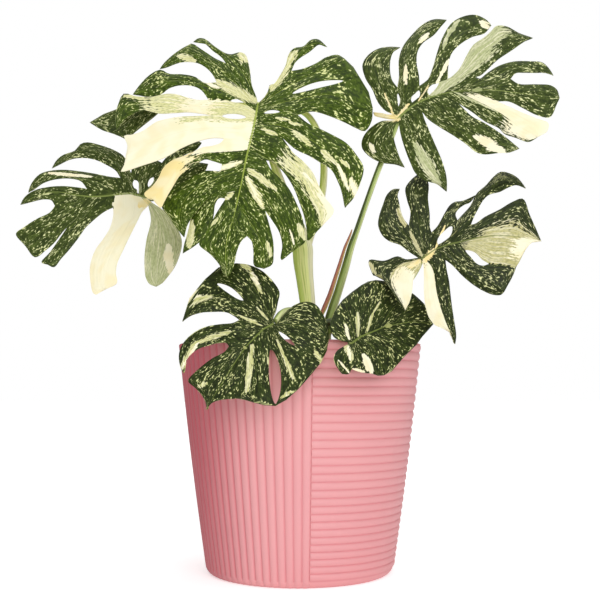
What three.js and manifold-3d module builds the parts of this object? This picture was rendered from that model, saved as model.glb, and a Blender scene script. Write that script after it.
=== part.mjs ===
import * as THREE from "three";
import { mergeGeometries, mergeVertices } from "three/addons/utils/BufferGeometryUtils.js";
import Module from "manifold-3d";

const wasm = await Module();
wasm.setup();

// Pot, in mm. It stands on z = 0 and its axis is the z axis.
const potHeight = 210;
const rimRadius = 114;
const footRadius = 86.3;
const belly = 1.3;
const wall = 4;
const floor = 5;
const fluteCount = 80;
const ringCount = 29;
const ribRelief = 1.6;
const footRounding = 7;
const seamTurn = 5.5;

// Plant, in mm.
const soilLevel = 190;
const plantDepth = 156;
const bladeThickness = 0.8;
const lobeRows = 9;
const gap = 0.35;

// The leaves are drawn as they look from the front, on a square sheet 600 mm wide
// that is held up 979 mm from the eye. The eye is low, so it looks slightly upwards.
const sheetMiddle = 300;
const sheetDistance = 979;
const eye = new THREE.Vector3(0, -928, 172);
const lookUp = THREE.MathUtils.degToRad(4.96);

// The point that is seen at (across, down) on the sheet and lies at the depth y.
function place(across, down, y) {
  const u = (across - sheetMiddle) / sheetDistance;
  const v = (sheetMiddle - down) / sheetDistance;
  const ray = new THREE.Vector3(
    u,
    Math.cos(lookUp) - v * Math.sin(lookUp),
    Math.sin(lookUp) + v * Math.cos(lookUp),
  );
  return ray.multiplyScalar((y - eye.y) / ray.y).add(eye);
}

// Materials
const green = () => new THREE.MeshStandardMaterial({ color: 0x4a7030, roughness: 0.5, side: 2 });
const stalkGreen = () => new THREE.MeshStandardMaterial({ color: 0xa8bf62, roughness: 0.5 });
const brown = () => new THREE.MeshStandardMaterial({ color: 0x96543f, roughness: 0.7 });
const earth = () => new THREE.MeshStandardMaterial({ color: 0x3a2a20, roughness: 1 });
const pink = () => new THREE.MeshStandardMaterial({ color: 0xf2a3a8, roughness: 0.5 });

const plant = new THREE.Group();
plant.name = "potted_monstera";

function add(name, geometry, material) {
  const mesh = new THREE.Mesh(geometry, material);
  mesh.name = name;
  plant.add(mesh);
  return mesh;
}

function toSolid(geometry) {
  const bare = geometry.clone();
  bare.deleteAttribute("normal");
  bare.deleteAttribute("uv");
  const merged = mergeVertices(bare, 1e-4);
  return new wasm.Manifold(
    new wasm.Mesh({
      numProp: 3,
      vertProperties: new Float32Array(merged.attributes.position.array),
      triVerts: new Uint32Array(merged.index.array),
    }),
  );
}

function toGeometry(solid) {
  const mesh = solid.getMesh();
  const geometry = new THREE.BufferGeometry();
  geometry.setAttribute("position", new THREE.BufferAttribute(mesh.vertProperties, 3));
  geometry.setIndex(new THREE.BufferAttribute(mesh.triVerts, 1));
  return geometry;
}

// Points at equal steps along a line through the given points.
function spread(points, steps) {
  if (steps === 0) return [points[0]];
  const corners = points.map(([x, y]) => new THREE.Vector3(x, y, 0));
  const smooth = new THREE.CatmullRomCurve3(corners, false, "centripetal");
  const line = points.length > 2 ? smooth : straight(points);
  return line.getSpacedPoints(steps).map((p) => [p.x, p.y]);
}

function straight(points) {
  const path = new THREE.CurvePath();
  for (let i = 1; i < points.length; i++) {
    const a = new THREE.Vector3(...points[i - 1], 0);
    const b = new THREE.Vector3(...points[i], 0);
    path.add(new THREE.LineCurve3(a, b));
  }
  return path;
}

const lerp = (a, b, t) => [a[0] + (b[0] - a[0]) * t, a[1] + (b[1] - a[1]) * t];
const reach = (a, b) => Math.hypot(a[0] - b[0], a[1] - b[1]);

// The line between two lobes, from the midrib to the bottom of the cut between them,
// seen from the lobe on one side (side 1) or on the other (side -1). Where the blade has
// a hole the two lobes part for a while.
function boundary(from, lobe, rows, side) {
  const line = spread([from, ...lobe.cut], rows);
  const [start, end, width] = lobe.hole || [0, 0, 0];
  const first = Math.max(1, Math.round(start * rows));
  const last = Math.min(rows - 1, Math.max(first + 2, Math.round(end * rows)));
  if (!width || last - first < 2) return line;
  return line.map((p, i) => {
    if (i <= first || i >= last) return p;
    const before = line[i - 1];
    const after = line[i + 1];
    const length = reach(before, after);
    const open = width * Math.sin((Math.PI * (i - first)) / (last - first)) ** 0.6 * side;
    return [
      p[0] + ((after[1] - before[1]) / length) * open,
      p[1] - ((after[0] - before[0]) / length) * open,
    ];
  });
}

// One leaf blade: a midrib, lobes on both sides of it and the lobe at its tip. Every lobe is
// a strip of the blade on both sides of its own vein.
function blade(leaf) {
  const midrib = straight(leaf.midrib);
  const marks = leaf.marks.map((length) => {
    const p = midrib.getPointAt(Math.min(1, length / midrib.getLength()));
    return [p.x, p.y];
  });
  const base = leaf.midrib[0];
  const tip = leaf.midrib.at(-1);
  const length = reach(base, tip);
  const along = [(tip[0] - base[0]) / length, (tip[1] - base[1]) / length];

  // The depth of the blade as a whole: it leans, turns and bends.
  const depth = ([x, y]) => {
    const dx = x - base[0];
    const dy = y - base[1];
    const aside = (dx * along[1] - dy * along[0]) / 100;
    const down = (dx * along[0] + dy * along[1]) / 100;
    return leaf.y + leaf.turn * dx + leaf.lean * dy + leaf.bend * aside ** 2 + leaf.nod * down ** 2;
  };
  // How far a lobe stands back from that, s of the way to its tip.
  const own = (lobe, s) => (lobe.back || 0) * s * s + (lobe.arch || 0) * Math.sin(Math.PI * s);

  const prepare = (lobe) => {
    const [, root, to] = lobe.at;
    const vein = spread([marks[root], ...lobe.vein], lobeRows);
    const share = reach(marks[to], lobe.cut.at(-1)) / reach(marks[root], vein[lobeRows]);
    const least = lobe.hole ? 4 : 1;
    const rows = THREE.MathUtils.clamp(Math.round(share * lobeRows), least, lobeRows - 2);
    return { lobe, vein, rows, to };
  };
  const edge = (cut, points, end, side) =>
    cut
      ? [
          ...boundary(marks[cut.to], cut.lobe, cut.rows, side),
          ...spread([cut.lobe.cut.at(-1), ...points, end], lobeRows - cut.rows).slice(1),
        ]
      : spread([marks[0], ...points, end], lobeRows);

  const strips = [];
  function addStrip({ lobe, vein, before, own: cut, neighbours, start, columns, side }) {
    const edges = [
      edge(before, lobe.near, vein[lobeRows], side),
      edge(cut, lobe.far, vein[lobeRows], -side),
    ];
    const cutRows = [before ? before.rows : 0, cut.rows];
    const edgeDepth = (which, i) => {
      const other = neighbours[which];
      const here = own(lobe, i / lobeRows);
      if (!other) return here;
      const row = Math.min(i, cutRows[which]);
      const fade = 1 - (i - row) / (lobeRows - row);
      return here + ((own(other, row / lobeRows) - own(lobe, row / lobeRows)) / 2) * fade ** 2;
    };
    const all = columns[0] + columns[1];
    const strip = new THREE.PlaneGeometry(1, 1, all, lobeRows);
    for (let i = 0; i <= lobeRows; i++)
      for (let j = 0; j <= all; j++) {
        const which = j <= columns[0] ? 0 : 1;
        const w = Math.abs(j - columns[0]) / columns[which];
        const p = lerp(vein[i], edges[which][i], w);
        const first = lerp(vein[0], edges[which][0], w);
        const settle = (1 - i / lobeRows) ** 4;
        p[0] += (start[j][0] - first[0]) * settle;
        p[1] += (start[j][1] - first[1]) * settle;
        const back = own(lobe, i / lobeRows) * (1 - w) + edgeDepth(which, i) * w;
        const free = Math.max(0, (i - cutRows[which]) / (lobeRows - cutRows[which]));
        const fold = (lobe.fold || 0) * w * free;
        const column = side > 0 ? j : all - j;
        const point = place(p[0], p[1], depth(p) + back + fold);
        strip.attributes.position.setXYZ(i * (all + 1) + column, point.x, point.y, point.z);
      }
    strips.push(strip);
  }

  const last = [leaf.right, leaf.left].map((lobes, which) => {
    const ready = lobes.map(prepare);
    ready.forEach(({ lobe, vein }, i) => {
      const [from, root, to] = lobe.at;
      addStrip({
        lobe,
        vein,
        before: ready[i - 1],
        own: ready[i],
        neighbours: [lobes[i - 1], lobes[i + 1] || leaf.tip],
        start: marks.slice(from, to + 1),
        columns: [root - from, to - root],
        side: which ? -1 : 1,
      });
    });
    return ready.at(-1);
  });

  // The lobe at the tip starts from one point of the midrib, where the last two lobes end.
  const end = marks.at(-1);
  const strip = { lobe: leaf.tip, vein: spread([end, ...leaf.tip.vein], lobeRows), side: 1 };
  const tipEdges = { before: last[0], own: last[1], neighbours: [last[0].lobe, last[1].lobe] };
  addStrip({ ...strip, ...tipEdges, start: Array(5).fill(end), columns: [2, 2] });
  return thicken(strips, bladeThickness);
}

// Joins the strips into one sheet and gives it a thickness.
function thicken(strips, thickness) {
  const bare = strips.map((strip) => {
    strip.deleteAttribute("normal");
    strip.deleteAttribute("uv");
    return strip;
  });
  const sheet = mergeVertices(mergeGeometries(bare), 1e-3);
  const corners = [...sheet.index.array];
  const faces = [];
  for (let i = 0; i < corners.length; i += 3) {
    const [a, b, c] = corners.slice(i, i + 3);
    if (a !== b && b !== c && c !== a) faces.push([a, b, c]);
  }
  sheet.setIndex(faces.flat());
  sheet.computeVertexNormals();
  const count = sheet.attributes.position.count;
  const points = [];
  for (const half of [thickness / 2, -thickness / 2])
    for (let i = 0; i < count; i++) {
      const p = new THREE.Vector3().fromBufferAttribute(sheet.attributes.position, i);
      const n = new THREE.Vector3().fromBufferAttribute(sheet.attributes.normal, i);
      points.push(...p.addScaledVector(n, half).toArray());
    }
  const used = new Set(faces.flatMap(([a, b, c]) => [a + "_" + b, b + "_" + c, c + "_" + a]));
  const index = faces.flatMap(([a, b, c]) => [a, b, c, c + count, b + count, a + count]);
  for (const edge of used) {
    const [a, b] = edge.split("_").map(Number);
    if (!used.has(b + "_" + a)) index.push(b, a, a + count, b, a + count, b + count);
  }
  const solid = new THREE.BufferGeometry();
  solid.setAttribute("position", new THREE.Float32BufferAttribute(points, 3));
  solid.setIndex(index);
  return solid;
}

// A lobe: the marks of the midrib where it begins, has its vein and ends, its vein up to
// the tip, the edge that is nearer to the leaf stalk, the edge that is farther from it, and
// the line to the bottom of the cut that parts it from the next lobe.
const lobe = (at, vein, near, far, cut, more = {}) => ({ at, vein, near, far, cut, ...more });

const leaves = {};

// The large leaf that faces the front.
leaves.leaf_A = {
  y: -20,
  turn: 0,
  lean: -0.52,
  bend: 10,
  nod: 0,
  midrib: [[258, 104], [256, 115], [253, 130], [246, 159], [241, 186], [235, 212], [226, 246], [227, 277]],
  marks: [0, 1, 2, 3, 4, 6, 8, 11, 15, 20, 26, 32, 38, 46, 56, 66, 74, 82, 92, 102, 112],
  right: [
    lobe([0, 1, 2], [[245, 76], [228, 57], [211, 45.5], [193.5, 42]],
      [[256.5, 98], [251.5, 85], [249.5, 68], [245.5, 55], [240.5, 52.5], [231, 54.5], [224.5, 53],
        [215, 47], [204.5, 39], [198.5, 38.5]],
      [[221.5, 57.5], [213, 51], [203.5, 42.5]], [[247, 91], [236, 76], [226, 63.5]], { back: 6 }),
    lobe([2, 3, 4], [[236, 84], [212, 64], [185, 53], [160, 69]],
      [[215, 58.5], [207.5, 53.5], [195.5, 45.5], [193, 43.5], [186, 46.5], [177, 52], [169, 58.5],
        [163.5, 64]],
      [[213.5, 76], [207.5, 69], [198.5, 63.5], [188.5, 62], [181, 62.5], [174.5, 64.5], [168, 67]],
      [[240, 94], [227, 87], [216.5, 82.5]], { back: 2 }),
    lobe([4, 5, 6], [[231, 95], [205, 86], [170, 81], [133, 94.5]],
      [[204.5, 83], [195, 77], [182, 74.5], [169, 74], [161.5, 70], [156.5, 71], [147.5, 77], [140, 85]],
      [[201, 90], [192, 86], [179.5, 85.5], [169, 88.5], [161.5, 94], [151.5, 97]],
      [[240, 101.5], [228, 101], [208.5, 99.7]], { hole: [0.2, 0.6, 2.2], back: -6 }),
    lobe([6, 7, 8], [[225, 108], [190, 106], [150, 103.5], [124, 109], [116.4, 131]],
      [[198.5, 100.2], [186, 97.5], [177, 94.5], [166.5, 94], [151.5, 97], [136, 96.5], [124, 93.8],
        [118.5, 104], [115.5, 117]],
      [[200, 113.5], [188.5, 112.3], [175.5, 113], [159, 113.5], [144, 110.5], [131, 115], [122, 122]],
      [[243, 117], [222, 116], [212.7, 115.5]], { hole: [0.2, 0.8, 2.8], back: -14 }),
    lobe([8, 10, 12], [[225, 128], [190, 130], [152, 142], [126, 156]],
      [[195, 116.3], [179.5, 117], [169.5, 118.6], [156.5, 122], [149, 127], [141, 132], [131, 135],
        [124, 136], [127.5, 145]],
      [[214, 138], [202.5, 140], [192, 143.5], [179.5, 149.3], [169, 155.6], [159, 160], [144, 165],
        [121, 171.5], [124, 166]],
      [[240, 140], [224, 138.5]], { back: -16, arch: -5 }),
    lobe([12, 13, 14], [[222, 151], [200, 154], [181, 164], [166, 184], [153, 199.3]],
      [[221.5, 142.5], [212.5, 146], [202.5, 147.5], [194.5, 151.5], [184.5, 156], [174.5, 159.5],
        [168, 163.5], [162.5, 169.5], [159, 177.5], [152, 186.8], [144.2, 193.8], [145.5, 196.8]],
      [[212.5, 161], [205.5, 159.5], [195, 165], [187.5, 169.5], [179.5, 176], [172.4, 187.4],
        [168.8, 193.4], [164.5, 201.5], [160.7, 207.8]],
      [[234, 162], [222, 164]], { back: -20, arch: -8 }),
    lobe([14, 15, 17], [[215, 180], [192, 192], [180, 212], [184, 237]],
      [[220.5, 171], [213, 171], [205, 171], [196.5, 174.5], [188.5, 179.5], [178, 186], [166, 194.5],
        [161.8, 206.5], [166.8, 214], [176, 227]],
      [[204.5, 202.5], [196.5, 211.5], [190.5, 219.5], [186.8, 227]], [[226, 191], [213, 194.5]],
      { back: 12, arch: -4 }),
    lobe([17, 18, 20], [[221, 196], [209, 210], [199, 228], [183, 253]],
      [[201, 203], [191.5, 216], [189.5, 226], [187.5, 234], [184.5, 244]],
      [[219.5, 197.5], [215, 204], [213.5, 216], [209, 232], [196, 245]], [[230, 205],
        [226, 198.5]], { back: 22 }),
  ],
  left: [
    lobe([0, 1, 2], [[272, 88], [288, 67], [299, 53], [314, 43.5], [327, 47]],
      [[262.5, 100], [268, 92], [270, 85], [274.5, 84], [280, 76], [286, 65], [288.5, 55], [294, 48.5],
        [303.5, 46.5], [311, 40], [318, 39.5]],
      [[294.5, 63.5], [299.5, 58.5], [309.5, 52], [319, 44.5]], [[275, 88], [291.5, 71]], { back: 10 }),
    lobe([2, 3, 4], [[285, 88], [318, 72], [344, 58.5]],
      [[302.5, 69], [316, 63.5], [326, 57.5], [337.5, 55]],
      [[356, 71], [350, 63.5]], [[280, 99], [299, 91], [318, 85], [342, 81], [360, 78]],
      { hole: [0.35, 0.85, 3.2], back: 8 }),
    lobe([4, 5, 7], [[290, 101], [330, 95], [372.5, 108]],
      [[366, 88], [371, 97]],
      [[312.5, 111.5], [329.5, 116], [346, 123], [356, 128], [365, 131], [371.5, 121]],
      [[270, 112], [282, 112], [297.5, 115]], { hole: [0.2, 0.6, 1.8], back: 4 }),
    lobe([7, 9, 10], [[285, 127], [318, 145], [342, 170], [345, 207.5]],
      [[309.5, 124.5], [321, 129.5], [334, 136], [346, 143], [356, 154.5], [363.5, 168], [360, 184],
        [354, 197.5]],
      [[296, 149.5], [309.5, 156], [321, 163], [331, 169.5], [337.5, 181], [342, 193]],
      [[265, 131], [282, 137.5]], { back: -6 }),
    lobe([10, 13, 14], [[278, 166], [303, 192], [321, 227]],
      [[286, 143], [293, 153], [302.5, 161], [312.5, 172.5], [319.5, 187.5], [326, 199], [334, 211]],
      [[273, 161], [283, 171], [293, 186], [299.5, 202.5], [304.5, 217.5], [307, 232], [307.5, 241]],
      [[255, 160], [266, 160.5]], { back: -4 }),
    lobe([14, 16, 17], [[262, 193], [279, 218], [293, 251]],
      [[271, 169.5], [279.5, 178], [288, 187.5], [296, 202.5], [303, 221], [305, 237], [305.5, 241.5]],
      [[272.5, 221], [279.5, 232.5], [282.5, 246], [281, 260]], [[254, 205], [265, 210.5]], { back: -2 }),
    lobe([17, 19, 20], [[250, 222], [262, 245], [264, 268.5]],
      [[269.5, 226], [273, 241], [273.5, 254], [272, 264.5]],
      [[251.5, 241], [253.5, 252], [254.5, 266]], [[239, 229], [247, 236]], { back: 2 }),
  ],
  tip: {
    vein: [[226, 246], [227, 277]],
    near: [[220, 207.5], [215, 216], [206.5, 231], [199, 244], [210, 254], [219, 264], [222.5, 272]],
    far: [[241.5, 241], [237, 251], [234.5, 262], [231.5, 272]],
    back: -3,
  },
};

// The leaf at the top right.
leaves.leaf_B = {
  y: 5,
  turn: -0.2,
  lean: -0.35,
  bend: 8,
  nod: 0,
  midrib: [[398, 118.5], [406, 111], [417, 103], [428.5, 98], [440, 94.3], [451, 92], [462, 91],
    [490, 91], [559, 98]],
  marks: [0, 1, 2, 4, 6, 11, 18, 25, 34, 38, 44, 50, 58, 66, 73, 80],
  right: [
    lobe([0, 1, 2], [[388, 130], [382, 147], [392, 159], [404.5, 167.5]],
      [[392, 120.5], [381, 121.5], [369.5, 129], [362.5, 139], [362, 147.5], [368, 155.5], [381, 162.5],
        [396, 164.5]],
      [[394.5, 124], [393, 133], [396, 147], [400, 158.5]], [[398.5, 120.5], [398.6, 122]], { back: -4 }),
    lobe([2, 4, 6], [[410, 126], [416, 145], [428.5, 166], [446.5, 191.5]],
      [[400.5, 133.5], [404, 146], [410.5, 163], [416, 174], [426, 181], [437, 184], [443, 188.5]],
      [[424.5, 119.5], [428.5, 129], [434, 142], [441, 158.5], [445.5, 172.5], [447, 182.5]],
      [[419, 108], [422.3, 112.2]], { back: -5 }),
    lobe([6, 8, 11], [[440, 112], [462, 126], [484, 140.5], [519, 148.5]],
      [[428.5, 119.5], [441, 128], [454, 136], [466.5, 144.5], [476.5, 152.5], [485, 154.5], [499, 153],
        [510, 152.5]],
      [[472, 116.5], [485, 123.5], [496, 130.5], [504, 136], [512.5, 143]], [[449, 98],
        [458, 103]], { back: -4 }),
    lobe([11, 13, 15], [[476, 101], [499, 112.5], [518.5, 126.5], [538, 136.5]],
      [[472, 112], [485, 121.5], [499, 128.5], [504.5, 134], [516, 138], [529, 142]],
      [[508.5, 106.5], [524, 113.5], [536.5, 118.5], [548.5, 123.5], [547, 131.5]],
      [[480, 94.5], [497, 101.5]], { back: -2 }),
  ],
  left: [
    lobe([0, 1, 2], [[385, 115.5], [373.5, 112.5]], [[392, 119.3], [382, 117.7], [375, 115.8]],
      [[388, 114.8], [382, 113.4]], [[396, 116], [393.5, 114.5]], { back: 8 }),
    lobe([2, 3, 4], [[389, 103], [380.5, 82], [377, 63], [386, 52], [400, 47.5]],
      [[385, 110.5], [378, 102.5], [372.5, 90], [365.5, 78.5], [362.5, 65], [368, 55.5], [378, 49],
        [389.5, 47]],
      [[392, 80], [390, 70], [390.7, 59], [393.5, 52]], [[398.8, 108], [399, 101], [398, 95],
        [397.3, 87.5]],
      { hole: [0.3, 0.8, 1.4], back: 6 }),
    lobe([4, 5, 6], [[403, 90], [407, 60], [419, 37], [446.5, 20]],
      [[399, 78.5], [399, 59], [403.5, 46], [412, 35], [423, 24.5], [434, 19.5]],
      [[419, 76], [416.6, 63], [417.5, 52], [423, 43], [434, 35], [441, 26.5]],
      [[413, 99.5], [417.5, 95], [419.5, 86]], { hole: [0.15, 0.8, 3], back: 8 }),
    lobe([6, 7, 9], [[430, 80], [443, 52], [463, 32], [491, 25.5]],
      [[427.5, 80.5], [433.5, 66], [437, 53.5], [442.5, 38], [451, 24], [461, 17.5], [475, 15],
        [487, 20.5]],
      [[448, 70], [450.5, 56], [456.5, 47.5], [471, 37.5], [485, 33]],
      [[430, 91], [436, 84.5], [448, 79]], { hole: [0.1, 0.7, 3.4], back: 10 }),
    lobe([9, 10, 12], [[469, 67], [488, 49], [509, 36.5], [532.5, 38]],
      [[451, 77.5], [459.5, 69], [466.5, 56], [473.5, 45], [485, 37], [491.5, 31], [496.5, 26],
        [507, 26.7], [518.5, 33]],
      [[480.5, 75.5], [487.5, 69.5], [497.5, 60], [511.5, 50.5], [524, 42]], [[464, 85],
        [475.5, 77]], { back: 8 }),
    lobe([12, 13, 15], [[476, 84], [497, 75.5], [518, 67], [553, 75]],
      [[479.5, 79], [487.5, 73], [499, 66], [514, 61.7], [531, 61.5], [542, 62.5], [548, 67.5]],
      [[515.5, 73.3], [524, 72.8], [536.5, 73], [546.5, 72.3]], [[494, 85], [510.5, 79]], { back: 4 }),
  ],
  tip: {
    vein: [[490, 90], [525, 94], [559.3, 98]],
    near: [[508.5, 101.5], [522.5, 108], [536.5, 115], [550, 117.2], [556.5, 105]],
    far: [[518.5, 84], [536.5, 84.5], [550.5, 85.5], [557, 90]],
    back: -2,
  },
};

// The leaf at the right, whose lower lobes hang in front of the heart-shaped leaf.
leaves.leaf_C = {
  y: -58,
  turn: -0.1,
  lean: -0.6,
  bend: 6,
  nod: 0,
  midrib: [[421, 259], [428, 254.5], [435, 249.7], [445, 245.4], [455.7, 243], [469, 240], [481, 237.5],
    [499, 235.5], [517.5, 237], [541, 241]],
  marks: [0, 1, 2, 3, 4, 6, 8, 10, 14, 18, 24, 30, 36, 42],
  right: [
    lobe([0, 3, 8], [[432, 268], [437, 295], [444, 318], [455, 343.5]],
      [[423.5, 266], [424, 277], [424, 291], [425.5, 305.5], [429, 317.5], [435, 325], [445, 329.5],
        [451, 333.5]],
      [[446.5, 269], [449, 281], [451, 299.5], [453.5, 317.5], [456, 335.5]], [[440, 252],
        [445.5, 260]], { back: -8 }),
    lobe([8, 10, 13], [[452, 256.5], [468, 270], [485, 279.5], [504, 291.5]],
      [[452, 265], [462, 275.5], [471.5, 283.5], [482.5, 290.5], [493, 294.7], [500.5, 295]],
      [[513.5, 274.5], [510, 281.5]],
      [[464, 249], [473, 255], [481, 262.5], [500, 265],
        [516, 267.5]], { hole: [0.15, 0.6, 3.6], back: -10 }),
  ],
  left: [
    lobe([0, 1, 2], [[400, 266], [391, 281], [405, 310.3]],
      [[421, 267], [417.5, 272], [413.5, 279], [412, 292], [409.5, 302]],
      [[406, 259.5], [397.5, 256.5], [384, 261], [369.5, 260], [368.5, 263], [371, 270.5], [374, 276],
        [380, 274.5], [384.5, 281.5], [390.5, 289], [397.5, 300.5]],
      [[418.5, 258]], { back: -16, arch: 5 }),
    lobe([2, 3, 4], [[410, 241], [395, 222], [389, 205], [399.5, 189]],
      [[408.5, 251.5], [400, 245], [389, 241], [382, 235], [378.2, 225.5], [379, 217], [383, 205],
        [387, 195], [393, 189.5]],
      [[404, 219.5], [401, 212], [399, 202.5], [397.5, 195]], [[416, 243], [408.7, 225.5]], { back: 6 }),
    lobe([4, 5, 6], [[421, 236], [417, 210], [416, 190], [424, 175.5]],
      [[410.5, 212], [407.3, 201], [405.3, 189], [408.5, 183], [414.5, 177], [419.5, 174]],
      [[430, 227.5], [429.7, 214.5], [428, 199], [428.5, 184]], [[428.5, 243],
        [431.5, 232.5]], { back: 8 }),
    lobe([6, 7, 9], [[434, 238], [446, 215], [459, 204], [475, 195.7]],
      [[437.5, 226.5], [444.8, 213.5], [449.5, 206], [454.5, 202.3], [463, 201]],
      [[455.5, 214.5], [458, 209.7], [464, 205], [470, 202.5]],
      [[440, 241], [447, 234], [453, 224.5], [457.5, 220.5]], { hole: [0.15, 0.8, 4.2], back: 14 }),
    lobe([9, 10, 13], [[459, 228], [474, 207], [489, 189], [504, 180], [525.5, 188]],
      [[463, 214.5], [470.5, 206], [476.5, 194], [486, 185.5], [493.5, 177], [500.5, 172], [509, 173.3],
        [517.5, 178]],
      [[474, 217], [478.5, 208.5], [482.5, 201], [488.5, 195], [499.5, 192], [508, 187.8], [516, 185]],
      [[463, 232], [471, 224.7]], { back: 12 }),
  ],
  tip: {
    vein: [[481, 237.5], [499, 235.5], [517.5, 237], [541, 241.2]],
    near: [[518.5, 263], [522.5, 254.5], [528.5, 243.5]],
    far: [[475, 224], [485, 217], [499.5, 209.7], [512.5, 202], [523, 199], [529.5, 214.5], [535.5, 228]],
    back: 3,
  },
};

// The leaf at the left, behind the large one.
leaves.leaf_D = {
  y: 30,
  turn: -0.1,
  lean: -0.4,
  bend: 4,
  nod: 0,
  midrib: [[146, 198], [130.5, 193.5], [117, 194.5], [104, 196.5], [90.5, 197], [77, 195.5], [55, 192],
    [36, 196], [21, 204]],
  marks: [0, 1, 2, 3, 4, 6, 8, 11, 14, 24, 32, 43, 50, 57, 66],
  right: [
    lobe([0, 1, 2], [[160, 190], [180, 180], [208, 164]],
      [[152, 200], [164, 194], [186, 184], [204, 173]], [[164, 184], [180, 172], [196, 163]],
      [[149, 193], [151, 190]], { back: -6 }),
    lobe([2, 3, 4], [[158, 176], [174, 158], [201.5, 143]],
      [[157, 184], [167, 170], [183, 156], [196, 150]],
      [[166, 158], [172, 153.5], [180, 148], [196, 140.5]], [[148.5, 187], [153, 178], [162, 163]],
      { hole: [0.28, 0.58, 2.6], back: 8 }),
    lobe([4, 6, 7], [[139, 178], [142, 165], [151, 146]],
      [[157, 160], [153, 151]], [[133, 165], [136, 155], [144, 146]],
      [[140, 190.5], [135.5, 182.5], [131, 173]], { hole: [0.1, 0.72, 4.6], back: 8 }),
    lobe([7, 8, 9], [[124, 172], [108, 157], [85, 150.5], [52, 168.3]],
      [[127, 162], [124, 156.5], [114.5, 150.5], [101, 145.5], [87.5, 142.5], [81, 144], [75.5, 150.5],
        [63.5, 155], [57, 160]],
      [[116, 171], [106.5, 165], [95.5, 160], [82.5, 158], [69, 160], [59.5, 164.5]],
      [[122, 184], [120.5, 178]], { back: 6 }),
    lobe([9, 10, 14], [[100, 184], [75, 176.5], [50, 176.5], [28.5, 192.3]],
      [[110.5, 177], [95.5, 174], [79.5, 171.5], [63.5, 170], [50, 171], [40.5, 174], [34, 180], [30, 187]],
      [[81, 181.5], [70.5, 178.5], [57, 179], [43.5, 183], [34, 189.5]], [[84, 191.5],
        [87, 189]], { back: 4 }),
  ],
  left: [
    lobe([0, 3, 5], [[157, 214], [162, 240], [159, 265], [156, 286.5]],
      [[153, 203.5], [164, 211], [173.5, 222], [180, 234], [182, 243], [180, 254], [174.5, 267.5],
        [166.5, 278.5], [162, 283.5]],
      [[151, 220.5], [146.5, 240.5], [144.5, 260.5], [146, 278], [149.5, 284]], [[145, 202],
        [148.5, 205.5]], { back: -10, arch: -4 }),
    lobe([5, 8, 10], [[134, 212], [121.5, 236], [109, 260], [104, 290]],
      [[142, 212], [138.5, 219], [130.5, 235], [124, 248.5], [117, 264.5], [116, 274], [117, 283]],
      [[113.5, 213.5], [110.5, 227], [103.5, 239], [95.5, 250], [90.5, 264.5], [90.5, 281], [94.5, 294.5]],
      [[113.3, 202], [113, 207.5]], { back: -16, arch: -8 }),
    lobe([10, 11, 12], [[85, 216], [68, 238], [48, 264.5]],
      [[104, 212], [90.5, 223], [85, 228.5], [78.5, 238], [69, 250], [61, 259], [54, 267.3]],
      [[59.5, 239], [50, 252.5], [41.5, 262.5]], [[88, 207], [68.3, 226]], { back: -4 }),
    lobe([12, 13, 14], [[75, 208], [50, 225], [26, 246.5]],
      [[63.5, 231], [54, 243], [46, 250], [35, 257.3]],
      [[50, 212.5], [37, 219], [24.5, 227], [16, 234]], [[62, 203], [55, 206]], { back: 2 }),
  ],
  tip: {
    vein: [[55, 192], [36, 196.5], [20.7, 204.6]],
    near: [[77, 187.5], [63.5, 186.3], [50, 187], [37, 189.7], [28.5, 194], [23.5, 199]],
    far: [[51.5, 200.5], [43.5, 199.5], [30, 202.3]],
    back: 4,
  },
};

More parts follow.
